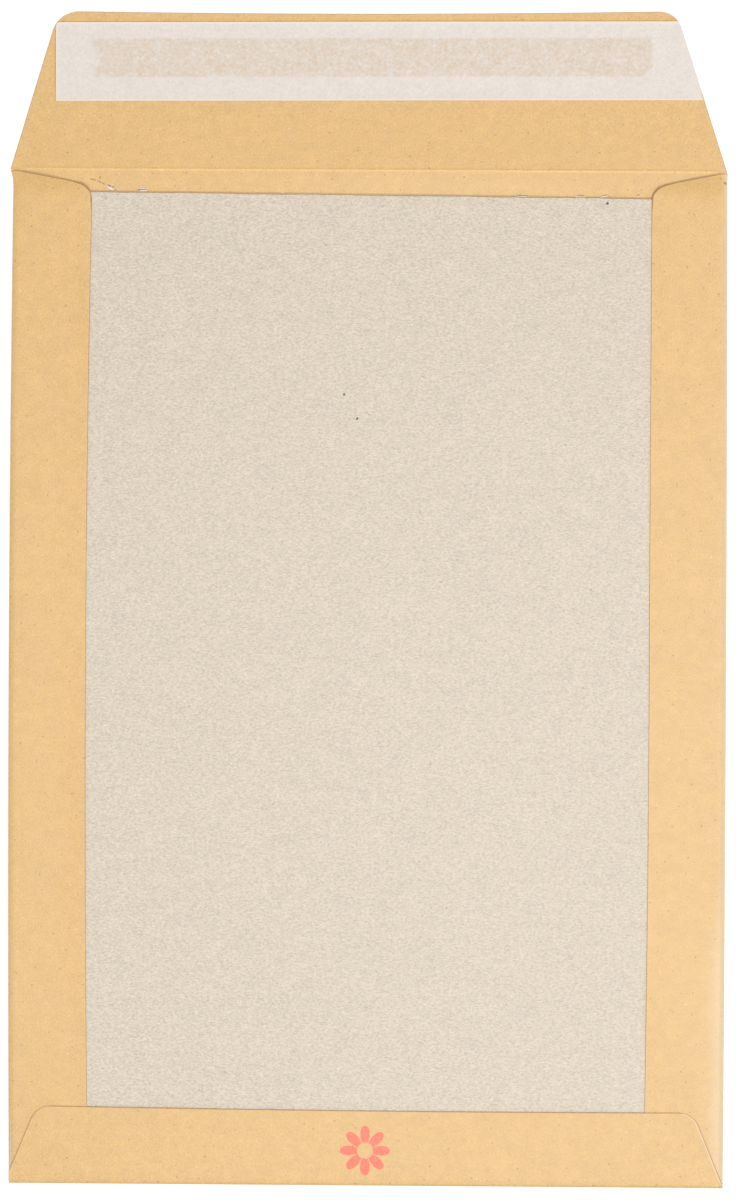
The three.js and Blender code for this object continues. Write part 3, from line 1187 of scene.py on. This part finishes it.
@dataclass
class EnvelopePaper:
    """The die-cut sheet: front panel, seal flap, two side flaps and bottom flap, in one piece.

    Pairs are for the left and the right side or end, or say where a fade begins and ends.
    """

    layout: Layout
    seal_flap: SealFlap
    side_widths: Pair = (24.6 * MM, 24.6 * MM)
    wider_tops: Pair = (0.85 * MM, -0.45 * MM)
    wider_feet: Pair = (0.85 * MM, 0.9 * MM)
    side_slant: float = math.radians(11.3)
    side_corner: float = 6.0 * MM
    side_reach: float = 2.0 * MM
    side_lift: float = 0.14 * MM
    side_drifts: tuple[Drift, Drift] = (Drift(0.35, 130.0 * MM, -0.3), Drift(0.35, 130.0 * MM, 0.3))
    side_insets: Pair = (1.05 * MM, 0.22 * MM)
    side_bows: Pair = (0.84 * MM, 0.34 * MM)
    inset_fade: float = 4.0 * MM
    top_share: float = 0.3
    top_reach: float = 7.0 * MM
    bottom_depth: float = 24.6 * MM
    bottom_slants: Pair = (math.radians(23.3), math.radians(22.1))
    bottom_corners: Pair = (7.5 * MM, 7.0 * MM)
    bottom_shoulders: Pair = (3.1 * MM, 0.0)
    bottom_turn: float = math.radians(-0.21)
    bottom_bow: float = 0.59 * MM
    bottom_reach: float = 0.9 * MM
    bottom_lift: float = 0.05 * MM
    bottom_drift: Drift = Drift(0.3, 90.0 * MM)
    foot_turn: float = math.radians(-0.17)
    foot_fade: Pair = (80.0 * MM, 30.0 * MM)
    relief: float = 0.5 * MM
    ear_trim: float = 0.0625 * MM
    lift_reach: float = 10.0 * MM
    free_above: Pair = (4.0 * MM, 22.0 * MM)
    # These shape the painted shade and highlight along the cut edges, widened round the side flaps'
    # upper corners and taken away under the bottom flap's left shoulder.
    edge_fade: float = 0.28 * MM
    edge_shade_offset: float = 0.12 * MM
    corner_across: Pair = (9.0 * MM, 3.0 * MM)
    corner_down: Pair = (14.0 * MM, 9.0 * MM)
    corner_shade: float = 1.3
    shoulder_unshaded: float = 1.0 * MM
    shoulder_fade: float = 0.5 * MM
    # These set the painted highlight on the side folds, far stronger on the right and wider near the
    # foot, and at the bottom flap's right end.
    highlight_sides: Pair = (0.1, 1.0)
    highlight_width: float = 1.5 * MM
    highlight_foot_width: float = 4.0 * MM
    highlight_foot: Pair = (105.0 * MM, 60.0 * MM)
    highlight_power: int = 6
    highlight_rim: float = 1.2
    rim_inside: float = 0.5 * MM
    rim_width: float = 0.22 * MM
    across_count: int = 90
    up_count: int = 120
    seal_rows: int = 16
    side_rows: int = 10
    bottom_rows: int = 12
    corner_rows: int = 12
    near_edge: tuple[float, ...] = (0.12 * MM, 0.25 * MM, 0.42 * MM, 0.6 * MM, 0.85 * MM, 1.2 * MM)
    near_fold: tuple[float, ...] = (0.5 * MM, 1.0 * MM, 1.6 * MM, 2.4 * MM, 3.4 * MM)
    near_crease: tuple[float, ...] = (0.15 * MM, 0.3 * MM, 0.45 * MM, 0.65 * MM, 0.9 * MM, 1.4 * MM)

    def __post_init__(self) -> None:
        """Works out the fold lines and the samples that neighbouring patches share."""
        place = self.layout
        self.front_half = place.half_width - self.side_reach
        self.front_foot = place.foot + self.bottom_reach
        self.side_top = place.crease - self.relief
        self.side_foot = self.front_foot + self.relief
        self.across = spread(-self.front_half, self.front_half, self.across_count, self.near_edge)
        self.up = spread(self.side_foot, self.side_top, self.up_count, self.near_edge)
        self.side_fold = Fold(self.side_reach, place.side_face)
        self.bottom_fold = Fold(self.bottom_reach, place.bottom_face)
        slants = (self.side_slant, self.side_slant)
        corners = (self.side_corner, self.side_corner)
        depths = [width - self.side_reach for width in self.side_widths]
        self.side_cuts = [FlapCut(depth, slants, corners) for depth in depths]
        self.bottom_cut = FlapCut(self.bottom_depth - self.bottom_reach, self.bottom_slants,
                                  self.bottom_corners, self.bottom_shoulders)

    def _patch(self, x: Array, y: Array, z: Array, flip: bool, cut: Array | float,
               fold: Array | float = 0.0, crest: Array | float = 0.0) -> Patch:
        """Puts one grid together, a little out of true as the envelope is.

        A side lies inside its fold line by an inset less a parabola from the foot to the crease.
        Both fade to nothing at the middle line, and over a short way up to the crease. The foot
        runs slightly askew, by a shear that fades out up the pocket.

        Args:
            x: places across, rows by columns.
            y: places along.
            z: heights.
            flip: whether the grid's normals are turned round.
            cut: distance from the nearest cut edge, which sets the painted shade and highlight there.
            fold: the painted highlight on a side fold or at the bottom flap's right end.
            crest: how near the crest of the crease is, which sets its painted highlight.

        Returns:
            The patch.
        """
        x, y, z, cut, fold, crest = np.broadcast_arrays(x, y, z, cut, fold, crest)
        arch = np.clip(1.0 - self.height_share(y) ** 2, 0.0, 1.0)
        below = np.clip((self.layout.crease - y) / self.inset_fade, 0.0, 1.0)
        moved = x
        for side in Side:
            inward = (self.side_insets[side.end] - self.side_bows[side.end] * arch) * below
            from_middle = np.clip(side.value * x / self.layout.half_width, 0.0, 1.0)
            moved = moved - side.value * inward * from_middle
        low = smooth(*self.foot_fade, y - self.layout.foot)
        sheared = y + math.tan(self.foot_turn) * x * low
        # The values carry the painted shade and highlight along the cut edges and the painted
        # highlights on the folds and the crease.
        values = {"cut_edge": np.exp(-cut / self.edge_fade), "fold_highlight": fold, "crest": crest}
        return Patch(np.stack([moved, sheared, z], axis=-1), flip, values)

    def height_share(self, y: Array) -> Array:
        """Where a place lies up the pocket: -1 at the foot, 0 in the middle, 1 at the crease."""
        tall = self.layout.crease - self.layout.foot
        return 2.0 * (y - self.layout.foot) / tall - 1.0

    def front(self) -> Patch:
        """The front panel, flat on the floor, with a narrow strip down to the bottom fold.

        Returns:
            The panel's patch.
        """
        x = self.across[None, :]
        y = np.concatenate([[self.front_foot], self.up])[:, None]
        rise = self.seal_flap.rise(x, y)
        return self._patch(x, y, rise, True, np.inf, crest=self.seal_flap.crest(x, y))

    def open_flap(self) -> Patch:
        """The seal flap with the relief strip below its crease.

        Returns:
            The flap's patch.
        """
        cut = self.seal_flap.cut
        ends = np.where(self.across < 0.0, *(self.seal_flap.half_width(side) for side in Side))
        base = self.across / self.front_half * ends
        out = cut.rows(self.seal_rows, self.corner_rows, self.near_crease)
        along, from_end = cut.spans(base, out)
        x, y = self.seal_flap.place(along, out[:, None])
        strip = np.array([self.side_top, self.layout.crease - self.relief / 2.0])
        x = np.concatenate([np.stack([self.across, base]), x])
        y = np.concatenate([np.broadcast_to(strip[:, None], (2, y.shape[1])), y])
        from_edge = np.minimum(cut.depth - out[:, None], from_end)
        from_edge = np.concatenate([np.full((2, y.shape[1]), np.inf), from_edge + self.edge_shade_offset])
        rise = self.seal_flap.rise(x, y)
        return self._patch(x, y, rise, True, from_edge, crest=self.seal_flap.crest(x, y))

    def lifted(self, from_edge: Array) -> Array:
        """How much a flap's cut edges stand off: the square of what is left of a narrow margin."""
        return np.clip(1.0 - from_edge / self.lift_reach, 0.0, 1.0) ** 2

    def fold_highlight_share(self, inside: Array, y: Array) -> Array:
        """The painted highlight on a side fold: a bell from its outermost line, wider near the foot.

        Args:
            inside: distance from the outermost line.
            y: places along the envelope.

        Returns:
            The share, from 0 to 1.
        """
        near_foot = smooth(*self.highlight_foot, y - self.layout.foot)
        width = self.highlight_width + (self.highlight_foot_width - self.highlight_width) * near_foot
        return bell(inside, width)

    def sunk(self, y: Array) -> Array:
        """Share of its height that a side fold keeps: less above the board, where it is empty."""
        filled = smooth(self.side_top, self.side_top - self.top_reach, y)
        return self.top_share + (1.0 - self.top_share) * filled

    def side_bend(self, side: Side) -> Patch:
        """One side fold, which sinks to a share of its height above the board.

        Args:
            side: left or right.

        Returns:
            The fold's patch.
        """
        reach, height, outermost = (part[:, None] for part in self.side_fold.profile())
        y = self.up[None, :]
        from_end = np.minimum(y - y[0, 0], y[0, -1] - y)
        x = side.value * (self.front_half + reach)
        # Painted highlight on the fold, strongest at its outermost line.
        fold_highlight_share = self.fold_highlight_share(self.side_reach - reach, y) + outermost**self.highlight_power
        fold_highlight_share = self.highlight_sides[side.end] * fold_highlight_share
        return self._patch(x, y, height * self.sunk(y), side is Side.LEFT, from_end, fold_highlight_share)

    def side_flap(self, side: Side) -> Patch:
        """One side flap, which lies over the board and sinks above it as its fold does.

        The flap widens towards its two ends by the square of the way there. Its cut edges lift a
        little, less under the bottom flap, and the lift varies slowly along the flap. The painted
        shade along the cut widens round the upper corner, and a painted highlight runs beside the
        fold.

        Args:
            side: left or right.

        Returns:
            The flap's patch.
        """
        cut = self.side_cuts[side.end]
        out = cut.rows(self.side_rows, self.corner_rows, self.near_fold)
        along, from_end = cut.spans(self.up, out)
        out = out[:, None]
        inside = cut.depth - out
        free = smooth(*self.free_above, along - self.layout.foot - self.bottom_depth)
        lift = self.side_lift * self.lifted(np.minimum(inside, from_end)) * free
        lift = lift * self.side_drifts[side.end].at(along) * smooth(0.0, self.lift_reach, out)
        z = self.layout.side_face * self.sunk(along) + lift
        # The painted shade along the cut edge is widened round the upper corner.
        at_corner = smooth(*self.corner_across, inside)
        at_corner = at_corner * smooth(*self.corner_down, self.side_top - along)
        edge_paint = np.minimum(inside + self.edge_shade_offset, from_end) / (1.0 + self.corner_shade * at_corner)
        way = self.height_share(along)
        wider = np.where(way > 0.0, self.wider_tops[side.end], self.wider_feet[side.end]) * way**2
        x = side.value * (self.front_half - out * (1.0 + wider / cut.depth))
        # Painted highlight beside the fold.
        fold_highlight_share = self.highlight_sides[side.end] * self.fold_highlight_share(self.side_reach + out, along)
        return self._patch(x, along, z, side is Side.LEFT, edge_paint, fold_highlight_share)

    def bottom(self) -> list[Patch]:
        """The bottom fold and its flap, which lies over the side flaps.

        The free edge is turned and bowed towards the fold by a parabola, both in step with the
        distance from the fold. The flap's cut edges lift a little, and its right end has a painted
        highlight, a narrow bell beside the cut.

        Returns:
            The fold's patch and the flap's.
        """
        ear = self.layout.half_width - self.ear_trim
        near = np.array((0.0, *self.near_edge))
        base = np.concatenate([near - ear, self.across, ear - near[::-1]])
        reach, height, _ = (part[:, None] for part in self.bottom_fold.profile())
        bend = self._patch(base[None, :], self.front_foot - reach, height, False, np.inf)
        cut = self.bottom_cut
        out = cut.rows(self.bottom_rows, self.corner_rows)
        along, from_end = cut.spans(base, out)
        out = out[:, None]
        bow = self.bottom_bow * (1.0 - (along / self.layout.half_width) ** 2)
        askew = (math.tan(self.bottom_turn) * along - bow) * out / cut.depth
        from_edge = np.minimum(cut.depth - out, from_end)
        lift = self.bottom_lift * self.lifted(from_edge) * self.bottom_drift.at(along)
        lift = lift * smooth(0.0, self.lift_reach / 2.0, out)
        # The painted shade along the cut edge is taken away under the left shoulder, and the right end
        # gets a painted highlight.
        shoulder = np.where(along < 0.0, *cut.shoulders)
        covered = smooth(shoulder + self.shoulder_fade, shoulder, out)
        edge_paint = from_edge + self.shoulder_unshaded * covered
        rim = self.highlight_rim * bell(from_end - self.rim_inside, self.rim_width) * (along > 0.0)
        y = self.front_foot + out + askew
        return [bend, self._patch(along, y, self.layout.bottom_face + lift, False, edge_paint, rim)]

    def build(self, material: bpy.types.Material) -> bpy.types.Object:
        """Sews the patches into one sheet, gives it its thickness and dresses it.

        The patches are the sheet's outer face. The points that thickening adds after them are its
        inner face.

        Args:
            material: the paper's finish.

        Returns:
            The folded paper.
        """
        patches = [self.front(), self.open_flap(), *self.bottom()]
        for side in Side:
            patches += [self.side_bend(side), self.side_flap(side)]
        paper = mesh_of("folded_paper", patches)
        outer_count = len(paper.data.vertices)
        thicken(paper, self.layout.thickness)
        layer = paper.data.attributes.new("inner_face", "FLOAT", "POINT")
        inner = np.arange(len(paper.data.vertices)) >= outer_count
        layer.data.foreach_set("value", inner.astype(np.float32))
        carry(paper, material, Slot.PAPER, "envelope_paper")
        return paper


@dataclass
class BackingBoard:
    """The grey board, lying slightly turned in the pocket, its top edge roughly cut."""

    layout: Layout
    turn: float = math.radians(-0.47)
    settled: float = 0.2 * MM
    edge_radius: float = 0.12 * MM
    rough: Ripple = Ripple(
        amounts=(0.06 * MM, 0.03 * MM, 0.015 * MM, 0.01 * MM),
        lengths=(41.0 * MM, 13.0 * MM, 5.3 * MM, 2.1 * MM),
        seed=7,
    )
    rough_reach: float = 1.5 * MM
    across_count: int = 260
    up_count: int = 60
    on_radius: tuple[float, ...] = (0.015 * MM, 0.04 * MM, 0.08 * MM, 0.12 * MM)
    near_edge: tuple[float, ...] = (0.4 * MM, 0.9 * MM, 2.0 * MM)

    def __post_init__(self) -> None:
        """Finds the board's own width, height and middle inside its turned box."""
        low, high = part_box("backing_board")
        wide, tall = high.x - low.x, high.y - low.y
        sine, cosine = abs(math.sin(self.turn)), math.cos(self.turn)
        squares = cosine**2 - sine**2
        self.half_width = (wide * cosine - tall * sine) / squares / 2.0
        self.half_height = (tall * cosine - wide * sine) / squares / 2.0
        self.middle = ((low.x + high.x) / 2.0, (low.y + high.y) / 2.0 - self.settled)

    def place(self, p: Array, q: Array) -> tuple[Array, Array]:
        """Turns board coordinates from its middle into X and Y, with the rough top edge.

        The roughness is a ripple along the edge that fades out a short way down the board.

        Args:
            p: places across the board, from its middle.
            q: places up the board.

        Returns:
            X and Y of each place.
        """
        near_top = smooth(self.half_height - self.rough_reach, self.half_height, q)
        q = q + self.rough.at(p) * near_top
        sine, cosine = math.sin(self.turn), math.cos(self.turn)
        return self.middle[0] + p * cosine - q * sine, self.middle[1] + p * sine + q * cosine

    def build(self, material: bpy.types.Material) -> bpy.types.Object:
        """Makes the two faces, rounded at their edges, and the wall between them.

        A face drops by a quarter circle over the edge radius: the radius less the root of its
        square less the square of what is left of it. The wall runs once round the rim.

        Args:
            material: the board's finish.

        Returns:
            The board.
        """
        near = self.on_radius + self.near_edge
        p = spread(-self.half_width, self.half_width, self.across_count, near)
        q = spread(-self.half_height, self.half_height, self.up_count, near)[:, None]
        inside = np.minimum(self.half_width - np.abs(p), self.half_height - np.abs(q))
        left = np.clip(self.edge_radius - inside, 0.0, self.edge_radius)
        drop = self.edge_radius - np.sqrt(self.edge_radius**2 - left**2)
        x, y = self.place(*np.broadcast_arrays(p, q))
        top = np.stack([x, y, self.layout.board_high - drop], axis=-1)
        under = np.stack([x, y, self.layout.board_low + drop], axis=-1)
        both = np.stack([under, top])
        foot, right = both[:, 0, :-1], both[:, :-1, -1]
        head, back = both[:, -1, :0:-1], both[:, :0:-1, 0]
        wall = Patch(np.concatenate([foot, right, head, back, both[:, :1, 0]], axis=1))
        board = mesh_of("grey_backing_board", [Patch(top), Patch(under, True), wall])
        board.data.set_sharp_from_angle(angle=SHARP_ANGLE)
        carry(board, material, Slot.BOARD, "backing_board")
        return board


@dataclass(frozen=True)
class Sliver:
    """A flat torn sliver, seen from above: its start, end and width, and its bow to the left."""

    start: Pair
    end: Pair
    width: float
    bow: float = 0.0


@dataclass
class TornFibres:
    """Pale slivers torn off the board's top edge, lying just above it on the front panel."""

    layout: Layout
    flap: SealFlap
    slivers: tuple[Sliver, ...] = (
        Sliver((-84.1 * MM, 131.6 * MM), (-81.2 * MM, 130.2 * MM), 0.80 * MM, -0.2 * MM),
        Sliver((-83.6 * MM, 130.8 * MM), (-81.7 * MM, 130.2 * MM), 0.75 * MM, -0.1 * MM),
        Sliver((-82.9 * MM, 131.9 * MM), (-81.8 * MM, 131.3 * MM), 0.30 * MM),
        Sliver((-80.6 * MM, 130.2 * MM), (-79.7 * MM, 130.0 * MM), 0.32 * MM),
        Sliver((-73.7 * MM, 129.75 * MM), (-70.6 * MM, 129.85 * MM), 0.55 * MM, 0.1 * MM),
        Sliver((-74.4 * MM, 130.45 * MM), (-71.2 * MM, 130.65 * MM), 0.30 * MM, 0.1 * MM),
        Sliver((-28.3 * MM, 129.6 * MM), (-27.1 * MM, 129.3 * MM), 0.36 * MM),
        Sliver((46.4 * MM, 128.6 * MM), (51.5 * MM, 128.5 * MM), 0.36 * MM, 0.05 * MM),
        Sliver((65.5 * MM, 128.6 * MM), (69.2 * MM, 128.6 * MM), 0.48 * MM, -0.05 * MM),
        Sliver((73.6 * MM, 128.4 * MM), (76.5 * MM, 129.0 * MM), 0.48 * MM),
        Sliver((85.1 * MM, 128.5 * MM), (86.7 * MM, 129.1 * MM), 0.36 * MM),
    )
    above: float = 0.12 * MM
    thickness: float = 0.08 * MM
    steps: int = 9
    sides: int = 6

    def build(self, material: bpy.types.Material) -> bpy.types.Object:
        """Carries a tapering flat oval section along each sliver's bowed path.

        A sliver runs straight from start to end, plus a parabola to its left. Its section is
        scaled by the root of 1 less the square of twice the share of the way less 1, so both of
        its ends close in a point.

        Args:
            material: the slivers' finish.

        Returns:
            All slivers in one mesh.
        """
        start = np.array([one.start for one in self.slivers])
        run = np.array([one.end for one in self.slivers]) - start
        width, bow = np.array([(one.width, one.bow) for one in self.slivers]).T
        left = np.stack([-run[:, 1], run[:, 0]], axis=-1)
        left = left / np.linalg.norm(left, axis=-1, keepdims=True)
        share = np.linspace(0.0, 1.0, self.steps)
        parabola = 4.0 * share * (1.0 - share)
        middle = start[:, None] + run[:, None] * share[:, None]
        middle = middle + left[:, None] * (bow[:, None] * parabola)[..., None]
        taper = np.sqrt(np.clip(1.0 - (2.0 * share - 1.0) ** 2, 0.0, 1.0))[:, None]
        around = np.linspace(0.0, 2.0 * np.pi, self.sides + 1)
        across = width[:, None, None] / 2.0 * taper * np.cos(around)
        flat = middle[:, :, None] + left[:, None, None] * across[..., None]
        high = self.flap.rise(middle[..., 0], middle[..., 1]) + self.layout.thickness + self.above
        high = high[..., None] + self.thickness / 2.0 * taper * np.sin(around)
        tubes = np.concatenate([flat, high[..., None]], axis=-1)
        fibres = mesh_of("torn_fibres", [Patch(tube) for tube in tubes])
        carry(fibres, material, Slot.BOARD)
        return fibres


@dataclass
class SealStrip:
    """The sticky band on the seal flap and the release liner that covers it.

    The grids are rows by columns.
    """

    layout: Layout
    flap: SealFlap
    liner_width: float = 25.2 * MM
    liner_top: float = 3.64 * MM
    liner_left: float = 14.5 * MM
    liner_thickness: float = 0.07 * MM
    liner_margin: float = 0.03 * MM
    liner_trim: float = 0.3 * MM
    liner_short: float = 0.4 * MM
    short_reach: float = 3.0 * MM
    liner_curl: float = 0.10 * MM
    curl_reach: float = 3.0 * MM
    edge_fade: float = 0.42 * MM
    liner_grid: tuple[int, int] = (56, 230)
    near_edge: tuple[float, ...] = (0.08 * MM, 0.16 * MM, 0.3 * MM, 0.5 * MM, 0.8 * MM, 1.4 * MM)
    near_ends: tuple[float, ...] = (0.0004, 0.0008, 0.0015, 0.0025, 0.0035)
    band_width: float = 12.3 * MM
    band_length: float = 178.0 * MM
    band_top: float = 5.2 * MM
    band_left: float = 12.4 * MM
    band_thickness: float = 0.08 * MM
    band_cut: Pair = (2.4 * MM, 3.2 * MM)
    band_soft: float = 0.25 * MM
    band_grid: tuple[int, int] = (40, 80)
    ragged: Ripple = Ripple(
        amounts=(0.55 * MM, 0.4 * MM, 0.25 * MM),
        lengths=(11.0 * MM, 4.3 * MM, 1.9 * MM),
        seed=3,
    )
    ragged_fade: Pair = (-0.66 * MM, 1.54 * MM)

    def __post_init__(self) -> None:
        """Works out where the liner and the band lie on the flap."""
        self.liner_start = self.liner_left - self.layout.half_width
        self.liner_high = self.flap.cut.depth - self.liner_top
        self.liner_low = self.liner_high - self.liner_width
        self.band_high = self.liner_high - self.band_top
        self.band_low = self.band_high - self.band_width
        self.band_start = self.liner_start + self.band_left
        self.band_end = self.band_start + self.band_length

    def _on_flap(self, along: Array, out: Array, above: Array | float) -> Array:
        """Points on the flap's inner face or above it, turned with the strip.

        Args:
            along: places along the strip, from the flap's middle.
            out: distances from the crease.
            above: heights over the flap's inner face.

        Returns:
            The points.
        """
        sine, cosine = math.sin(self.flap.turn), math.cos(self.flap.turn)
        x = along * cosine - out * sine
        y = self.layout.crease + along * sine + out * cosine
        z = self.flap.rise(x, y) + self.layout.thickness + above
        return np.stack(np.broadcast_arrays(x, y, z), axis=-1)

    def band_ends(self, out: Array) -> tuple[Array, Array]:
        """The band's two ends at each height on the flap.

        The left end is ragged by a ripple. The right end is straight, with its lower corner cut
        back by a smooth step.

        Args:
            out: distances from the crease.

        Returns:
            Where the band starts and where it ends.
        """
        back, reach = self.band_cut
        end = self.band_end - back * smooth(self.band_low + reach, self.band_low, out)
        return self.band_start + self.ragged.at(out), end

    def over_band(self, along: Array, out: Array) -> Array:
        """How much of the band shows through the liner: 1 over it, with soft edges.

        Args:
            along: places along the strip.
            out: distances from the crease.

        Returns:
            The share at each place.
        """
        soft = (-self.band_soft, self.band_soft)
        start, end = self.band_ends(out)
        inside = smooth(*soft, out - self.band_low) * smooth(*soft, self.band_high - out)
        return inside * smooth(*self.ragged_fade, along - start) * smooth(*soft, end - along)

    def adhesive(self, material: bpy.types.Material) -> bpy.types.Object:
        """The band, a thin film between its two ends.

        Args:
            material: the band's finish.

        Returns:
            The band.
        """
        rows, columns = self.band_grid
        out = np.linspace(self.band_low, self.band_high, rows)[:, None]
        start, end = self.band_ends(out)
        along = start + np.linspace(0.0, 1.0, columns) * (end - start)
        band = mesh_of("sticky_band", [Patch(self._on_flap(along, out, self.band_thickness))])
        thicken(band, self.band_thickness)
        carry(band, material, Slot.ADHESIVE, "seal_adhesive")
        return band

    def liner(self, material: bpy.types.Material) -> bpy.types.Object:
        """The liner, cut off flush with the flap's ends and curling up a little at its long edges.

        Its height above the flap is the band's thickness plus a curl that grows with the square
        of the share of a narrow margin.

        Args:
            material: the liner's finish.

        Returns:
            The liner.
        """
        rows, columns = self.liner_grid
        out = spread(self.liner_low, self.liner_high, rows, self.near_edge)[:, None]
        flap_start = self.liner_trim - self.flap.half_span(out, Side.LEFT)
        start = np.maximum(self.liner_start, flap_start)
        short = self.liner_short * smooth(self.liner_low + self.short_reach, self.liner_low, out)
        end = self.flap.half_span(out, Side.RIGHT) - self.liner_margin - short
        along = start + spread(0.0, 1.0, columns, self.near_ends) * (end - start)
        from_edge = np.minimum(out - self.liner_low, self.liner_high - out)
        curl = self.liner_curl * np.clip(1.0 - from_edge / self.curl_reach, 0.0, 1.0) ** 2
        points = self._on_flap(along, out, self.band_thickness + self.liner_thickness + curl)
        # The liner's cut_edge value sets its painted highlight.
        values = {
            "over_adhesive": self.over_band(along, out),
            "cut_edge": np.exp(-np.minimum(from_edge, along - start) / self.edge_fade),
        }
        liner = mesh_of("liner_strip", [Patch(points, False, values)])
        thicken(liner, self.liner_thickness)
        carry(liner, material, Slot.LINER, "release_liner")
        return liner


@dataclass(frozen=True)
class SeamGum:
    """The dried glue lines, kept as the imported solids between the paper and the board."""

    nodes: tuple[str, ...] = ("left_seam_gum", "right_seam_gum", "bottom_seam_gum")

    def dress(self, material: bpy.types.Material) -> None:
        """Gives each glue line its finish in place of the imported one.

        Args:
            material: the glue's finish.
        """
        for name in self.nodes:
            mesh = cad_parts[name].data
            mesh.materials.clear()
            mesh.materials.append(material)
            LOG.info("%s: dressed", name)


# The studio

@dataclass(frozen=True)
class Lamp:
    """A round soft lamp that faces the envelope's middle."""

    name: str
    place: Point
    size: float
    power: float

    def build(self) -> None:
        """Adds the lamp to the scene, tilted and turned towards the middle."""
        data = bpy.data.lights.new(self.name, "AREA")
        data.shape = "DISK"
        data.size = self.size
        data.energy = self.power
        lamp = bpy.data.objects.new(self.name, data)
        x, y, z = self.place
        lamp.location = self.place
        lamp.rotation_euler = (0.0, math.atan2(math.hypot(x, y), z), math.atan2(y, x))
        bpy.context.scene.collection.objects.link(lamp)


@dataclass(frozen=True)
class Studio:
    """Pale floor, soft light from the lower right, and a camera straight above."""

    floor_size: float = 6.0
    floor_drop: float = 0.3 * MM
    floor_colour: Colour = (0.93, 0.93, 0.93, 1.0)
    floor_glow: float = 0.3
    floor_clear: float = 2.0 * MM
    ambient: float = 0.41
    lamps: tuple[Lamp, ...] = (
        Lamp("overhead_softbox", (0.14, -0.14, 1.60), 0.7, 12.2),
        Lamp("low_softbox", (0.42, -0.50, 1.40), 0.5, 2.2),
    )
    camera_height: float = 1.25
    camera_target: Pair = (0.22 * MM, -0.44 * MM)
    camera_roll: float = math.radians(0.27)
    frame_height: float = 383.2 * MM
    sensor: float = 36.0

    @staticmethod
    def _seen_directly(nodes: Nodes) -> Socket:
        """Tells rays that show a surface from rays that only light something.

        Args:
            nodes: the nodes of the floor's material or of the world.

        Returns:
            1 for rays that come from the camera, off a gloss or through glass, else 0.
        """
        path = nodes.add("LightPath").outputs
        kinds = ("Is Camera Ray", "Is Glossy Ray", "Is Transmission Ray")
        return nodes.most([path[kind] for kind in kinds])

    def floor(self) -> None:
        """A wide pale floor that keeps shadows and glows a little when seen.

        It is clear from below, and to what lies right on it, so that the underside gets light.
        """
        half = np.linspace(-self.floor_size / 2.0, self.floor_size / 2.0, 3)
        x, y = np.meshgrid(half, half)
        level = np.full_like(x, -self.floor_drop)
        plane = mesh_of("floor", [Patch(np.stack([x, y, level], axis=-1))])
        material = bpy.data.materials.new("pale_floor")
        material.use_nodes = True
        nodes = Nodes(material.node_tree)
        glow = nodes.times(self._seen_directly(nodes), self.floor_glow)
        look = {"Base Color": self.floor_colour, "Roughness": 1.0, "Specular IOR Level": 0.0,
                "Emission Color": WHITE, "Emission Strength": glow}
        pale = nodes.add("BsdfPrincipled", look)
        clear = nodes.add("BsdfTransparent")
        below = nodes.add("NewGeometry").outputs["Backfacing"]
        length = nodes.add("LightPath").outputs["Ray Length"]
        near = nodes.math("LESS_THAN", length, self.floor_clear)
        through = nodes.most([below, near])
        mixed = nodes.add("MixShader", {0: through, 1: pale.outputs[0], 2: clear.outputs[0]})
        nodes.add("OutputMaterial", {"Surface": mixed.outputs[0]})
        plane.data.materials.append(material)

    def world(self) -> None:
        """An even white surround: soft on the object, full white where it is seen."""
        world = bpy.data.worlds.new("surround")
        world.use_nodes = True
        nodes = Nodes(world.node_tree)
        level = nodes.total(self.ambient, (self._seen_directly(nodes), 1.0 - self.ambient))
        surround = nodes.add("Background", {"Color": WHITE, "Strength": level})
        nodes.add("OutputWorld", {"Surface": surround.outputs[0]})
        bpy.context.scene.world = world

    def camera(self) -> None:
        """A long lens straight above, rolled so that the envelope leans as in the photograph."""
        data = bpy.data.cameras.new("camera")
        data.sensor_width = self.sensor
        data.lens = self.sensor * self.camera_height / self.frame_height
        camera = bpy.data.objects.new("camera", data)
        camera.location = (*self.camera_target, self.camera_height)
        camera.rotation_euler = (0.0, 0.0, self.camera_roll)
        bpy.context.scene.collection.objects.link(camera)
        bpy.context.scene.camera = camera

    def build(self) -> None:
        """Sets up the floor, the light, the camera and the plain view of colours."""
        self.floor()
        self.world()
        for lamp in self.lamps:
            lamp.build()
        self.camera()
        bpy.context.scene.view_settings.view_transform = "Standard"


def main() -> None:
    """Builds the studio, then the envelope piece by piece."""
    logging.basicConfig(level=logging.INFO, format="%(name)s: %(message)s")
    Studio().build()
    effects = SharedEffects()
    layout = Layout.from_frame()
    flap = SealFlap(layout)
    EnvelopePaper(layout, flap).build(ManilaPaper().material(effects))
    BackingBoard(layout).build(GreyBoard().material(effects))
    TornFibres(layout, flap).build(TORN_BOARD.material(effects))
    strip = SealStrip(layout, flap)
    strip.adhesive(STICKY_FILM.material(effects))
    strip.liner(LinerPaper().material(effects))
    SeamGum().dress(SEAM_FILM.material(effects))


if __name__ == "__main__":
    main()
